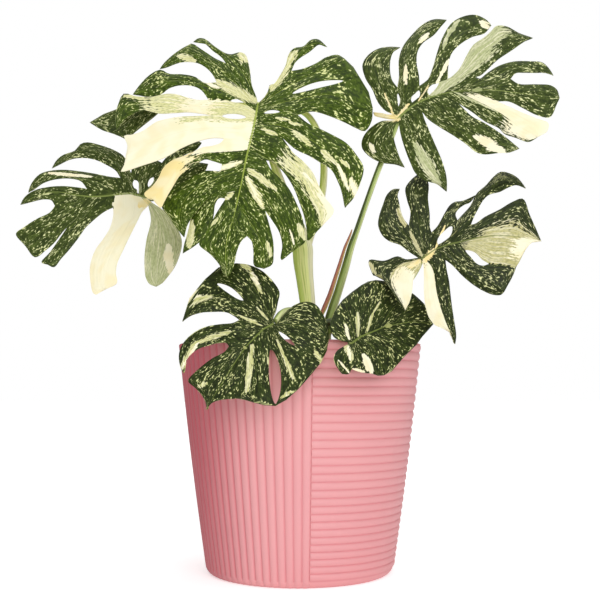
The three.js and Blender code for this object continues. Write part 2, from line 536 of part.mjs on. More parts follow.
// The leaf that hangs over the front of the rim.
leaves.leaf_E = {
  y: -112,
  turn: 0,
  lean: -0.35,
  bend: 4,
  nod: 0,
  midrib: [[274, 323.5], [263.5, 329], [257.5, 335], [250.5, 342], [242.5, 350], [233.5, 365],
    [224.5, 379.5], [215, 394.5], [207, 409]],
  marks: [0, 1, 2, 4, 6, 8, 12, 17, 22, 27, 32, 36],
  right: [
    lobe([0, 1, 2], [[262, 300], [250, 282], [236, 263.5]],
      [[273, 319], [276, 311], [278, 302], [279.5, 292.5], [272.5, 281], [262, 271], [248.5, 265]],
      [[213, 271.5], [223, 265.5]],
      [[252, 307], [239, 297.5], [229, 290], [219, 284.5],
        [205, 279.5]], { hole: [0.45, 0.85, 3.2], back: 4 }),
    lobe([2, 3, 5], [[240, 308], [210, 300], [182.5, 321.2]],
      [[196.5, 289], [187.5, 301.5], [183, 313]],
      [[234.5, 316.5], [226.5, 312.5], [211.5, 312], [200, 313], [190, 316]], [[250, 323],
        [239.3, 320]], { back: 2 }),
    lobe([5, 7, 11], [[240, 332], [210, 335], [190, 348], [183.5, 372.8]],
      [[233.5, 323], [219.5, 324.5], [206, 327], [194.5, 332.5], [185.5, 340.5], [180.5, 348.5],
        [179, 357], [181, 368]],
      [[226.5, 343.2], [219.5, 343], [209.5, 345.3], [196.5, 350], [187.5, 358], [184.5, 365]],
        [[239, 348], [229, 346.6]], { back: 4 }),
  ],
  left: [
    lobe([0, 1, 2], [[298, 326], [328.8, 338]],
      [[277, 323.5], [281.5, 317.5], [288.5, 309.5], [298, 303.5], [308, 302], [316, 305], [323, 314.5],
        [327.5, 326]],
      [[326.5, 351]],
      [[279, 332], [283, 335.5], [294, 345], [306, 353],
        [320.7, 363]], { hole: [0.15, 0.5, 2.2], back: 2 }),
    lobe([2, 4, 5], [[284, 352], [292, 375], [297.5, 389.5]],
      [[310, 375.5], [303, 384]], [[291, 396], [282, 402.7]],
      [[269, 345], [271.5, 352], [274, 365], [275.5, 385], [275.5, 403],
        [275.5, 406]], { hole: [0.28, 0.97, 6], back: -3 }),
    lobe([5, 9, 11], [[256, 366], [254, 402.3]], [[267, 405.5]], [[246, 400]],
      [[240, 375], [236, 398.5]], { back: -2 }),
  ],
  tip: {
    vein: [[233.5, 365], [224.5, 379.5], [215, 394.5], [207, 409]],
    near: [[224.5, 352], [213, 358], [203.5, 365], [195.5, 372], [188, 381], [195.5, 388], [202.5, 396],
      [206, 403]],
    far: [[226.5, 398], [215, 399], [209.5, 403]],
    back: -2,
  },
};

// The small heart-shaped leaf without cuts.
leaves.leaf_F = {
  y: -120,
  turn: 0.6,
  lean: -0.6,
  bend: 12,
  nod: 0,
  midrib: [[351, 344], [360, 337], [370, 333], [384, 327], [412, 322.3], [433, 324.3]],
  marks: [0, 1, 2, 4, 6, 9, 12, 17, 22, 27, 32, 38],
  right: [
    lobe([0, 1, 2], [[345, 356], [342, 373.5]],
      [[349, 344.3], [343.5, 346.8], [337, 351], [333.7, 358], [336.5, 366.5]], [[348.5, 374]],
      [[352, 356], [351.5, 369]], { back: -2 }),
    lobe([2, 3, 4], [[358, 357], [361, 372]], [[355.5, 370.5]], [[366, 372.8]], [[365, 357],
      [371.5, 373.7]], { back: -4 }),
    lobe([4, 6, 7], [[376, 352], [384, 375]], [[377.5, 375.5]], [[390.5, 372]], [[387, 347], [397, 365]]),
    lobe([7, 9, 11], [[394, 341], [409, 351.5]], [[403.5, 357]], [[415.5, 345.5]], [[405, 331],
      [422, 337]]),
  ],
  left: [
    lobe([0, 1, 2], [[342, 336], [330, 327.5]], [[347.5, 342], [340.5, 340.5], [333.7, 337]],
      [[331.5, 319]],
      [[345, 326], [334, 313]], { back: 3 }),
    lobe([2, 4, 5], [[350, 318], [343, 300]], [[338, 306.5]], [[350.5, 293.5]], [[362, 308],
      [361, 285.5]], { back: 3 }),
    lobe([5, 7, 9], [[370, 310], [376, 280.3]], [[367.5, 282]], [[388, 282]], [[386, 306], [398, 286.5]]),
    lobe([9, 10, 11], [[395, 306], [413, 294]], [[406, 290]], [[419.5, 299.5]], [[405, 313],
      [424.5, 304.5]]),
  ],
  tip: {
    vein: [[412, 322.3], [433, 324.3]],
    near: [[427, 331]],
    far: [[428, 316]],
  },
};

// The leaf of which only the end shows, behind the large one.
leaves.leaf_G = {
  y: 12,
  turn: 0,
  lean: -0.3,
  bend: 4,
  nod: 0,
  midrib: [[212, 105], [180, 104], [150, 105], [125, 110], [107, 116.5], [90, 122.5]],
  marks: [0, 2, 5, 20, 36, 50, 64, 75],
  right: [
    lobe([0, 1, 2], [[208, 101.5]], [[211, 103]], [[205, 101.5]], [[203, 101.5]]),
    lobe([2, 3, 5], [[186, 99.5], [172, 97.5]], [[188, 98]], [[160, 98]], [[152, 100], [148, 99]]),
    lobe([5, 6, 7], [[138, 104], [131, 101]], [[140, 99.5]], [[126, 102]], [[124, 107], [119, 108.5]]),
  ],
  left: [
    lobe([0, 1, 2], [[208, 108]], [[211, 107]], [[206, 108.3]], [[204, 108.3]]),
    lobe([2, 3, 4], [[188, 109], [180, 110.5]], [[190, 110]], [[172, 110]], [[168, 107.5], [164, 108.5]]),
    lobe([4, 5, 7], [[146, 114], [137, 127], [127, 139.7]], [[152, 112], [147, 119], [141, 129]],
      [[117, 135.3]], [[127, 122], [110.5, 132.8]], { back: -3 }),
  ],
  tip: {
    vein: [[107, 116.5], [90, 122.5]],
    near: [[114.5, 112], [105.5, 113.5]],
    far: [[103, 130.5]],
  },
};

for (const [name, leaf] of Object.entries(leaves)) add(name, blade(leaf), green());

// A stalk of changing thickness through points of [x, y, z, radius].
function stalk(points, steps, sides) {
  const centres = points.map(([x, y, z]) => new THREE.Vector3(x, y, z));
  const line = new THREE.CatmullRomCurve3(centres, false, "centripetal");
  const radii = points.map((p) => p[3]);
  const frames = line.computeFrenetFrames(steps);
  const tube = new THREE.CylinderGeometry(1, 1, 1, sides, steps);
  const at = tube.attributes.position;
  for (let i = 0; i < at.count; i++) {
    const row = Math.round((0.5 - at.getY(i)) * steps);
    const u = row / steps;
    const t = line.getUtoTmapping(u) * (points.length - 1);
    const k = Math.min(points.length - 2, Math.floor(t));
    const radius = radii[k] + (radii[k + 1] - radii[k]) * (t - k);
    const point = line
      .getPointAt(u)
      .addScaledVector(frames.normals[row], at.getX(i) * radius)
      .addScaledVector(frames.binormals[row], at.getZ(i) * radius);
    at.setXYZ(i, point.x, point.y, point.z);
  }
  return tube;
}

// A point of a path, given as [across, down] on the sheet, depth and radius.
const inSpace = ([across, down, depth, radius]) => [...place(across, down, depth).toArray(), radius];

// Every leaf stalk stands upright in the soil at its foot and then follows its path.
const stalks = {
  petiole_A: {
    foot: [7, -6, 8],
    path: [[309, 325, -6, 7.6], [306.8, 300, -8, 7.8], [304, 276, -11, 8.7], [302.6, 262, -12.5, 9.8],
      [301.8, 248, -14, 10.4], [293, 218, -19, 7.2], [281, 184, -24, 4.4], [272.5, 160, -26, 3.8],
      [264.5, 125, -21, 3.2], [259.5, 106.5, -16.2, 2.8]],
  },
  petiole_B: {
    foot: [26, 6, 5.2],
    path: [[326, 335, 7, 5], [332.6, 308, 7, 4.4], [337.3, 294, 6.5, 4], [341, 282, 6, 4],
      [346, 265, 5, 3.8], [350.9, 247, 4.5, 3.4], [355.9, 233, 4, 2.9], [366.6, 202, 4, 2.7],
      [378.2, 170, 4, 2.8], [388.5, 145, 5, 2.8], [397.5, 121.5, 8.6, 2.8]],
  },
  petiole_C: {
    foot: [24, -13, 4.4],
    path: [[326, 335, -14, 4.4], [342, 318, -22, 4], [378, 304, -38, 3.4], [405, 285, -42, 3],
      [417, 269, -52, 2.6],
      [421, 260.6, -55, 2.4]],
  },
  petiole_D: {
    foot: [-1, 7, 4],
    path: [[303, 330, 6.5, 4], [305, 300, 5.5, 3.9], [303.5, 265, 5, 3.8], [298, 237, 6, 3.6],
      [284, 208, 11, 3.5],
      [262, 193, 17, 3.4], [230, 186, 22, 3.2], [195, 190, 27, 3], [165, 197, 32, 2.8],
        [149, 199, 34.6, 2.6]],
  },
  petiole_E: {
    foot: [0, -24, 3.8],
    path: [[300, 338, -32, 3.8], [297, 318, -55, 3.6], [290, 311, -80, 3.3], [281, 314, -99, 3],
      [275.5, 321, -107.6, 2.6]],
  },
  petiole_F: {
    foot: [15, -28, 3.6],
    path: [[317, 338, -36, 3.6], [324, 325, -60, 3.4], [335, 322, -86, 3.2], [345, 330, -102, 3],
      [350.8, 342.5, -113.8, 2.6]],
  },
  petiole_G: {
    foot: [10, 19, 4],
    path: [[309, 330, 18, 4], [306, 300, 17, 3.9], [304, 270, 16, 3.8], [308, 245, 15, 3.8],
      [315, 222, 13, 3.7],
      [321, 200, 11, 3.6], [323.5, 180, 10, 3.6], [323.5, 160, 9, 3.5], [319, 135, 9, 3.3],
        [306, 114, 10, 3],
      [280, 105.5, 12, 2.8], [240, 105, 14, 2.6], [209.5, 105, 15.4, 2.2]],
  },
  stem: { foot: [15.2, 5.5, 4], path: [[315.8, 352, 5.5, 3.9], [315.8, 334, 5.5, 3.2]] },
};

// Pot: a tapered bucket with rings round one half and upright flutes on the other.
const lathe = (profile, segments) => {
  const outline = profile.map(([r, z]) => new THREE.Vector2(r, z));
  return new THREE.LatheGeometry(outline, segments).rotateX(Math.PI / 2);
};
const outerRadius = (z) => {
  const share = Math.min(1, z / potHeight);
  const r = footRadius + (rimRadius - footRadius) * share + belly * Math.sin(Math.PI * share);
  const low = Math.max(0, footRounding - z);
  return r - footRounding + Math.sqrt(footRounding ** 2 - low ** 2);
};
const circleSides = 32;
const levels = [0, 1.8, footRounding];

// Rings, one above another, each with a rounded back, a little wider towards the rim.
const ringHeight = (i) => {
  const share = i / ringCount;
  return footRounding + (potHeight - footRounding) * share * (0.85 + 0.15 * share);
};
const ringProfile = [[0, 0], ...levels.slice(0, -1).map((z) => [outerRadius(z) - ribRelief, z])];
for (let i = 0; i < ringCount; i++)
  for (const [step, rise] of [[0.04, 0], [0.3, 0.85], [0.7, 0.85]]) {
    const z = ringHeight(i + step);
    ringProfile.push([outerRadius(z) - ribRelief * (1 - rise), z]);
  }
ringProfile.push([outerRadius(potHeight) - ribRelief, potHeight], [0, potHeight]);

// Flutes, side by side, as long as the pot is high.
const fluteLevels = [...levels, potHeight * 0.45, potHeight];
const fluteProfile = [[0, 0], ...fluteLevels.map((z) => [outerRadius(z), z]), [0, potHeight]];
const fluteSteps = 3;
const fluted = lathe(fluteProfile, fluteCount * fluteSteps);
const flutedAt = fluted.attributes.position;
for (let i = 0; i < flutedAt.count; i++) {
  const column = Math.floor(i / fluteProfile.length);
  const radius = Math.hypot(flutedAt.getX(i), flutedAt.getY(i));
  const inset = column % fluteSteps === 0 ? ribRelief : -0.25;
  if (radius > 1) {
    const scale = (radius - inset) / radius;
    flutedAt.setXY(i, flutedAt.getX(i) * scale, flutedAt.getY(i) * scale);
  }
}
// The seam runs along the back of a flute.
fluted.rotateZ(THREE.MathUtils.degToRad(-1.25));

const halfBox = (side) => {
  const box = new THREE.BoxGeometry(200, 400, 500).translate(side * 99.7, 0, 100);
  return toSolid(box.rotateZ(THREE.MathUtils.degToRad(seamTurn)));
};
const inside = (inset) => [
  [0, floor + inset],
  [outerRadius(floor + 8) - wall - 8 - inset, floor + inset],
  [outerRadius(floor + 8) - wall - inset, floor + 8 + inset],
  [outerRadius(potHeight) - wall - inset, potHeight],
];
const cavity = [...inside(0), [outerRadius(potHeight) - wall, potHeight + 5], [0, potHeight + 5]];
const pot = toSolid(lathe(ringProfile, circleSides))
  .intersect(halfBox(1))
  .add(toSolid(fluted).intersect(halfBox(-1)))
  .subtract(toSolid(lathe(cavity, circleSides)));
add("pot", toGeometry(pot), pink());

// Soil, filled in up to a little below the rim, with a plain hole for every stalk.
const soilRadius = (z) => {
  const low = outerRadius(floor + 8) - wall;
  const high = outerRadius(potHeight) - wall;
  return low + ((high - low) * (z - floor - 8)) / (potHeight - floor - 8) - gap;
};
const soilProfile = [
  [0, floor + gap],
  [outerRadius(floor + 8) - wall - 8 - gap, floor + gap],
  [soilRadius(floor + 8), floor + 8 + gap],
  [soilRadius(soilLevel - 2), soilLevel - 2],
  [soilRadius(soilLevel) - 4, soilLevel],
  [78, soilLevel + 1.5],
  [52, soilLevel + 4],
  [26, soilLevel + 5],
  [0, soilLevel + 5.5],
];
let soil = toSolid(lathe(soilProfile, circleSides));
for (const [name, { foot, path }] of Object.entries(stalks)) {
  const [x, y, radius] = foot;
  const hole = new THREE.CylinderGeometry(radius + gap, radius + gap, 60, 12).rotateX(Math.PI / 2);
  soil = soil.subtract(toSolid(hole.translate(x, y, plantDepth - gap + 30)));
  const upright = [0, 18, 38, 46].map((rise) => [x, y, plantDepth + rise, radius]);
  const steps = name === "stem" ? 6 : Math.round(7 + 1.5 * path.length);
  const material = name === "stem" ? brown() : stalkGreen();
  add(name, stalk([...upright, ...path.map(inSpace)], steps, 8), material);
}
add("soil", toGeometry(soil), earth());

// The dry sheath along the stalk of the leaf at the top right.
const sheathPath = [
  [320, 318, 5, 1.8],
  [324.2, 308, 5, 2.5],
  [330, 294, 4.8, 2.4],
  [334.2, 281, 4.5, 2.1],
  [339.4, 265, 4, 1.9],
  [345.1, 247, 3.5, 1.5],
  [350.2, 235, 3, 1.1],
  [352, 229.5, 3, 0.5],
];
add("sheath_B", stalk(sheathPath.map(inSpace), 12, 8), brown());

export default plant;
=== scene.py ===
import math
import random
import bmesh
import bpy
from mathutils import Matrix, Vector, noise


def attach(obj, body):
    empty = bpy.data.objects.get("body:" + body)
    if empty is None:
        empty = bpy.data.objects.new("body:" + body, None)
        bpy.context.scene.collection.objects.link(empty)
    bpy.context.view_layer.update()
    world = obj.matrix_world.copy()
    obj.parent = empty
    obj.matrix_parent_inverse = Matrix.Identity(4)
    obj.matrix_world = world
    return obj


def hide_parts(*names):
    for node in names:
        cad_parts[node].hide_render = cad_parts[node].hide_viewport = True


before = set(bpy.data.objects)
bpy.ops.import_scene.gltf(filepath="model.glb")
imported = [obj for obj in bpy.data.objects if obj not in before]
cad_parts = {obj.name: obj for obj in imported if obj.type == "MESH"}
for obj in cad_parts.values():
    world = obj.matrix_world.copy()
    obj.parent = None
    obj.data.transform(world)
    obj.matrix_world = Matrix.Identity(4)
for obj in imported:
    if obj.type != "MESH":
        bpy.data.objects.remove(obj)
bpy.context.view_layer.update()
print("frame loaded")

# The plant is drawn as it looks from the front, on a square sheet that is held up before the eye.
# Places on the sheet are across and down, depths are in millimetres, behind the pot's axis if positive.
view = {"eye": Vector((0, -0.928, 0.172)), "tilt": math.radians(4.96), "middle": 300, "distance": 979}
millimetre = 0.001
weld = 0.000005  # points nearer than this become one


def place(across, down, depth):
    u = (across - view["middle"]) / view["distance"]
    v = (view["middle"] - down) / view["distance"]
    cosTilt = math.cos(view["tilt"])
    sinTilt = math.sin(view["tilt"])
    ray = Vector((u, cosTilt - v * sinTilt, sinTilt + v * cosTilt))
    return view["eye"] + ray * ((depth * millimetre - view["eye"].y) / ray.y)


def curvePoint(points, t):
    # a curve through all the points that doesn't overshoot
    last = len(points) - 1
    k = min(int(t * last), last - 1)
    s = t * last - k
    a, b = points[k], points[k + 1]
    before = points[k - 1] if k > 0 else 2 * a - b
    after = points[k + 2] if k + 2 <= last else 2 * b - a
    gaps = [max(0.0001, (q - p).length ** 0.5) for p, q in ((before, a), (a, b), (b, after))]
    leave = ((a - before) / gaps[0] - (b - before) / (gaps[0] + gaps[1])) * gaps[1] + (b - a)
    arrive = (b - a) + ((after - b) / gaps[2] - (after - a) / (gaps[1] + gaps[2])) * gaps[1]
    return a + leave * s + (3 * (b - a) - 2 * leave - arrive) * s * s + (2 * (a - b) + leave + arrive) * s**3


def measure(line):
    lengths = [0.0]
    for a, b in zip(line, line[1:]):
        lengths.append(lengths[-1] + (b - a).length)
    return lengths


def pointAt(line, lengths, wanted):
    # the point at a given length along a line of many points
    k = 0
    low, high = 0, len(lengths) - 1
    while high - low > 1:
        k = (low + high) // 2
        if lengths[k] <= wanted:
            low = k
        else:
            high = k
    span = lengths[high] - lengths[low]
    return line[low].lerp(line[high], max(0.0, min(1.0, (wanted - lengths[low]) / span)) if span else 0.0)


def spread(points, steps):
    # points at equal steps along the curve, or along the straight line, through the given ones
    if steps == 0:
        return [points[0]]
    samples = 160
    fine = points if len(points) == 2 else [curvePoint(points, i / samples) for i in range(samples + 1)]
    lengths = measure(fine)
    return [pointAt(fine, lengths, lengths[-1] * i / steps) for i in range(steps + 1)]


def soft(low, high, value):
    t = max(0.0, min(1.0, (value - low) / (high - low)))
    return t * t * (3 - 2 * t)


def joinSolids(first, second):
    # one closed body out of two that meet
    union = first.modifiers.new("union", "BOOLEAN")
    union.operation = "UNION"
    union.solver = "MANIFOLD"
    union.object = second
    shaped = first.evaluated_get(bpy.context.evaluated_depsgraph_get())
    bm = bmesh.new()
    bm.from_mesh(shaped.to_mesh())
    shaped.to_mesh_clear()
    for part in (first, second):
        bpy.data.objects.remove(part)
    return bm


def finishMesh(bm, name, material, node=None):
    # makes the piece, smooth but for its sharp edges, and ties it to the frame
    mesh = bpy.data.meshes.new(name)
    for face in bm.faces:
        face.smooth = True
    for edge in bm.edges:
        edge.smooth = edge.calc_face_angle(0.0) < math.radians(55)
    bm.to_mesh(mesh)
    bm.free()
    piece = bpy.data.objects.new(name, mesh)
    bpy.context.scene.collection.objects.link(piece)
    mesh.materials.append(material)
    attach(piece, "root")
    if node:
        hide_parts(node)


# Node helpers
def addNode(tree, kind, inputs=None, **settings):
    made = tree.nodes.new(kind)
    for key, value in settings.items():
        setattr(made, key, value)
    for socket, value in (inputs or {}).items():
        if isinstance(value, bpy.types.NodeSocket):
            tree.links.new(value, made.inputs[socket])
        else:
            made.inputs[socket].default_value = value
    return made


def calc(tree, operation, a, b=0.0):
    return addNode(tree, "ShaderNodeMath", {0: a, 1: b}, operation=operation).outputs[0]


def product(tree, a, b):
    return calc(tree, "MULTIPLY", a, b)


def total(tree, first, *others):
    for value in others:
        first = calc(tree, "ADD", first, value)
    return first


def between(tree, value, low, high, least=0.0, most=1.0):
    sockets = {"Value": value, "From Min": low, "From Max": high, "To Min": least, "To Max": most}
    return addNode(tree, "ShaderNodeMapRange", sockets, interpolation_type="SMOOTHSTEP").outputs[0]


def blend(tree, share, a, b):
    return addNode(tree, "ShaderNodeMix", {0: share, 6: a, 7: b}, data_type="RGBA").outputs[2]


def stretched(tree, coordinates, scale):
    return addNode(tree, "ShaderNodeMapping", {"Vector": coordinates, "Scale": scale}).outputs[0]


def cloud(tree, coordinates, scale, detail=2.0, roughness=0.5):
    sockets = {"Vector": coordinates, "Scale": scale, "Detail": detail, "Roughness": roughness}
    return addNode(tree, "ShaderNodeTexNoise", sockets).outputs["Fac"]


def attribute(tree, name):
    return addNode(tree, "ShaderNodeAttribute", attribute_name=name).outputs["Fac"]


def tint(red, green, blue):
    # a colour as it shows on screen, 0 to 255
    linear = [((c / 255 + 0.055) / 1.055) ** 2.4 if c > 10 else c / 255 / 12.92 for c in (red, green, blue)]
    return (*linear, 1.0)


def newMaterial(name):
    material = bpy.data.materials.new(name)
    material.use_nodes = True
    tree = material.node_tree
    return material, tree, tree.nodes["Principled BSDF"]


def newGroup(name, inputs, outputs):
    group = bpy.data.node_groups.new(name, "ShaderNodeTree")
    for label, kind in inputs:
        group.interface.new_socket(label, in_out="INPUT", socket_type="NodeSocket" + kind)
    for label, kind in outputs:
        group.interface.new_socket(label, in_out="OUTPUT", socket_type="NodeSocket" + kind)
    return group, group.nodes.new("NodeGroupInput").outputs, group.nodes.new("NodeGroupOutput").inputs


def addBump(tree, height, distance, strength=1.0):
    sockets = {"Height": height, "Distance": distance, "Strength": strength}
    return addNode(tree, "ShaderNodeBump", sockets).outputs["Normal"]


# Cream markings of a leaf. Grain runs along the side veins, in millimetres.
def makeVariegation():
    inputs = [("Grain", "Vector")]
    inputs += [(label, "Float") for label in ("Cream", "Butter", "Pale", "Rib", "Vein", "Under", "Speckle")]
    inputs += [(label, "Color") for label in ("Dark green", "Light green", "Fleck colour")]
    inputs += [(label, "Color") for label in ("Cream colour", "Butter colour", "Pale colour", "Rib colour")]
    outputs = [("Color", "Color"), ("Roughness", "Float"), ("Height", "Float")]
    tree, given, result = newGroup("variegation", inputs, outputs)
    grain = given["Grain"]
    cream, butter, pale = [given[label + " colour"] for label in ("Cream", "Butter", "Pale")]

    def along(stretch, scale, detail, roughness):
        return cloud(tree, stretched(tree, grain, (1.0, stretch, 1.0)), scale, detail, roughness)

    def sway(value, amount):
        return product(tree, calc(tree, "SUBTRACT", value, 0.5), amount)

    fine = along(0.34, 0.8, 1.5, 0.6)
    middle = along(0.25, 0.3, 2.0, 0.55)
    long = along(0.07, 0.55, 3.0, 0.6)
    wide = cloud(tree, grain, 0.06, 1.0)

    # the green itself, mottled
    mottle = between(tree, total(tree, product(tree, middle, 0.5), product(tree, fine, 0.5)), 0.38, 0.64)
    green = blend(tree, mottle, given["Dark green"], given["Light green"])

    # flecks and short streaks, denser in some places than in others
    density = total(tree, sway(wide, 0.3), sway(middle, 0.35), given["Speckle"])
    flecks = between(tree, total(tree, fine, density), 0.6, 0.67)
    streaks = between(tree, total(tree, long, product(tree, density, 0.6)), 0.65, 0.7)
    spotted = blend(tree, calc(tree, "MAXIMUM", flecks, streaks), green, given["Fleck colour"])

    # the large patches, with ragged edges that follow the veins
    ragged = total(tree, sway(long, 1.1), sway(middle, 0.5), sway(fine, 0.7))
    shares = {}
    for label in ("Cream", "Butter", "Pale"):
        shares[label] = between(tree, total(tree, given[label], ragged), 0.42, 0.54)
    paleTone = blend(tree, between(tree, long, 0.42, 0.66, 0.0, 0.6), pale, cream)
    paleTone = blend(tree, between(tree, fine, 0.56, 0.36, 0.0, 0.3), paleTone, given["Light green"])
    color = blend(tree, shares["Pale"], spotted, paleTone)
    creamTone = blend(tree, between(tree, wide, 0.4, 0.65, 0.0, 0.3), cream, butter)
    creamTone = blend(tree, between(tree, long, 0.52, 0.78, 0.0, 0.15), creamTone, pale)
    color = blend(tree, shares["Cream"], color, creamTone)
    butterTone = blend(tree, between(tree, wide, 0.35, 0.65, 0.0, 0.5), butter, cream)
    color = blend(tree, shares["Butter"], color, butterTone)

    # veins, which hardly show where the blade is pale
    plain = calc(tree, "MAXIMUM", shares["Cream"], calc(tree, "MAXIMUM", shares["Butter"], shares["Pale"]))
    hidden = between(tree, plain, 0.0, 1.0, 1.0, 0.2)
    veinShare = product(tree, between(tree, given["Vein"], 1.0, 0.3, 0.0, 0.4), hidden)
    color = blend(tree, veinShare, color, given["Rib colour"])
    color = blend(tree, between(tree, given["Rib"], 1.2, 0.6, 0.0, 0.85), color, given["Rib colour"])
    color = blend(tree, product(tree, given["Under"], 0.5), color, pale)
    rough = total(tree, between(tree, fine, 0.2, 0.8, 0.38, 0.5), product(tree, given["Under"], 0.2))
    across = addNode(tree, "ShaderNodeSeparateXYZ", {0: grain}).outputs[0]
    ridges = product(tree, calc(tree, "SINE", product(tree, across, 1.3)), 0.2)
    height = total(tree, ridges, product(tree, middle, 0.8), product(tree, fine, 0.3))
    tree.links.new(color, result["Color"])
    tree.links.new(rough, result["Roughness"])
    tree.links.new(height, result["Height"])
    return tree


variegation = makeVariegation()

# The colours of the blades. A higher speckle makes flecks denser.
leafLooks = {
    "brightLeaf": {"dark": (42, 58, 8), "light": (86, 108, 26), "fleck": (228, 232, 160),
                   "rib": (158, 174, 74), "pale": (224, 222, 158), "speckle": -0.005, "leaves": "A"},
    "mossLeaf": {"dark": (46, 58, 20), "light": (86, 101, 42), "fleck": (226, 228, 168),
                 "rib": (136, 150, 78), "pale": (188, 194, 142), "speckle": 0.0, "leaves": "BDG"},
    "darkLeaf": {"dark": (29, 37, 11), "light": (63, 75, 29), "fleck": (226, 226, 166),
                 "rib": (112, 124, 62), "pale": (196, 190, 130), "speckle": -0.012, "leaves": "C"},
    "rimLeaf": {"dark": (28, 36, 10), "light": (62, 76, 28), "fleck": (224, 226, 158),
                "rib": (120, 134, 64), "pale": (206, 206, 136), "speckle": -0.006, "leaves": "EF"},
}
creamTints = {"cream": (253, 247, 216), "butter": (247, 226, 156)}


def makeLeafMaterial(name, look):
    material, tree, shader = newMaterial(name)
    grain = addNode(tree, "ShaderNodeUVMap", uv_map="grain").outputs[0]
    group = addNode(tree, "ShaderNodeGroup", node_tree=variegation)
    tree.links.new(grain, group.inputs["Grain"])
    for label in ("Cream", "Butter", "Pale", "Rib", "Vein", "Under"):
        tree.links.new(attribute(tree, label.lower()), group.inputs[label])
    group.inputs["Speckle"].default_value = look["speckle"]
    group.inputs["Dark green"].default_value = tint(*look["dark"])
    group.inputs["Light green"].default_value = tint(*look["light"])
    for key in ("fleck", "rib", "pale"):
        group.inputs[key.capitalize() + " colour"].default_value = tint(*look[key])
    for key, value in creamTints.items():
        group.inputs[key.capitalize() + " colour"].default_value = tint(*value)
    shader.inputs["Specular IOR Level"].default_value = 0.15
    tree.links.new(group.outputs["Color"], shader.inputs["Base Color"])
    tree.links.new(group.outputs["Roughness"], shader.inputs["Roughness"])
    tree.links.new(addBump(tree, group.outputs["Height"], 0.0006, 0.5), shader.inputs["Normal"])
    return material


def readTable(text, *keys):
    # a table in words: a key, and then the numbers that belong to it, those of one place with commas
    lists = {key: [] for key in keys}
    filling = lists[keys[0]]
    for word in text.split():
        if word in lists:
            filling = lists[word]
        else:
            filling.append([float(number) for number in word.split(",")])
    return lists


def readLobes(text):
    # lobe: the marks of the midrib where it begins, has its vein and ends
    # near and far: its edges, towards the leaf stalk and away from it
    # cut: the way from the midrib to the bottom of the cut before the next lobe
    # hole: where a hole in that way begins and ends, and how wide it is
    # back and arch: how far its end and its middle lie behind the blade
    found = []
    for part in text.split("lobe")[1:]:
        lists = readTable(part, "at", "vein", "near", "far", "cut", "hole", "back", "arch")
        item = {key: [Vector(point) for point in lists[key]] for key in ("vein", "near", "far", "cut")}
        item["at"] = [int(mark) for mark in lists["at"][0]] if lists["at"] else None
        item["hole"] = lists["hole"][0] if lists["hole"] else None
        item["back"] = lists["back"][0][0] if lists["back"] else 0.0
        item["arch"] = lists["arch"][0][0] if lists["arch"] else 0.0
        found.append(item)
    return found


leaves = {}
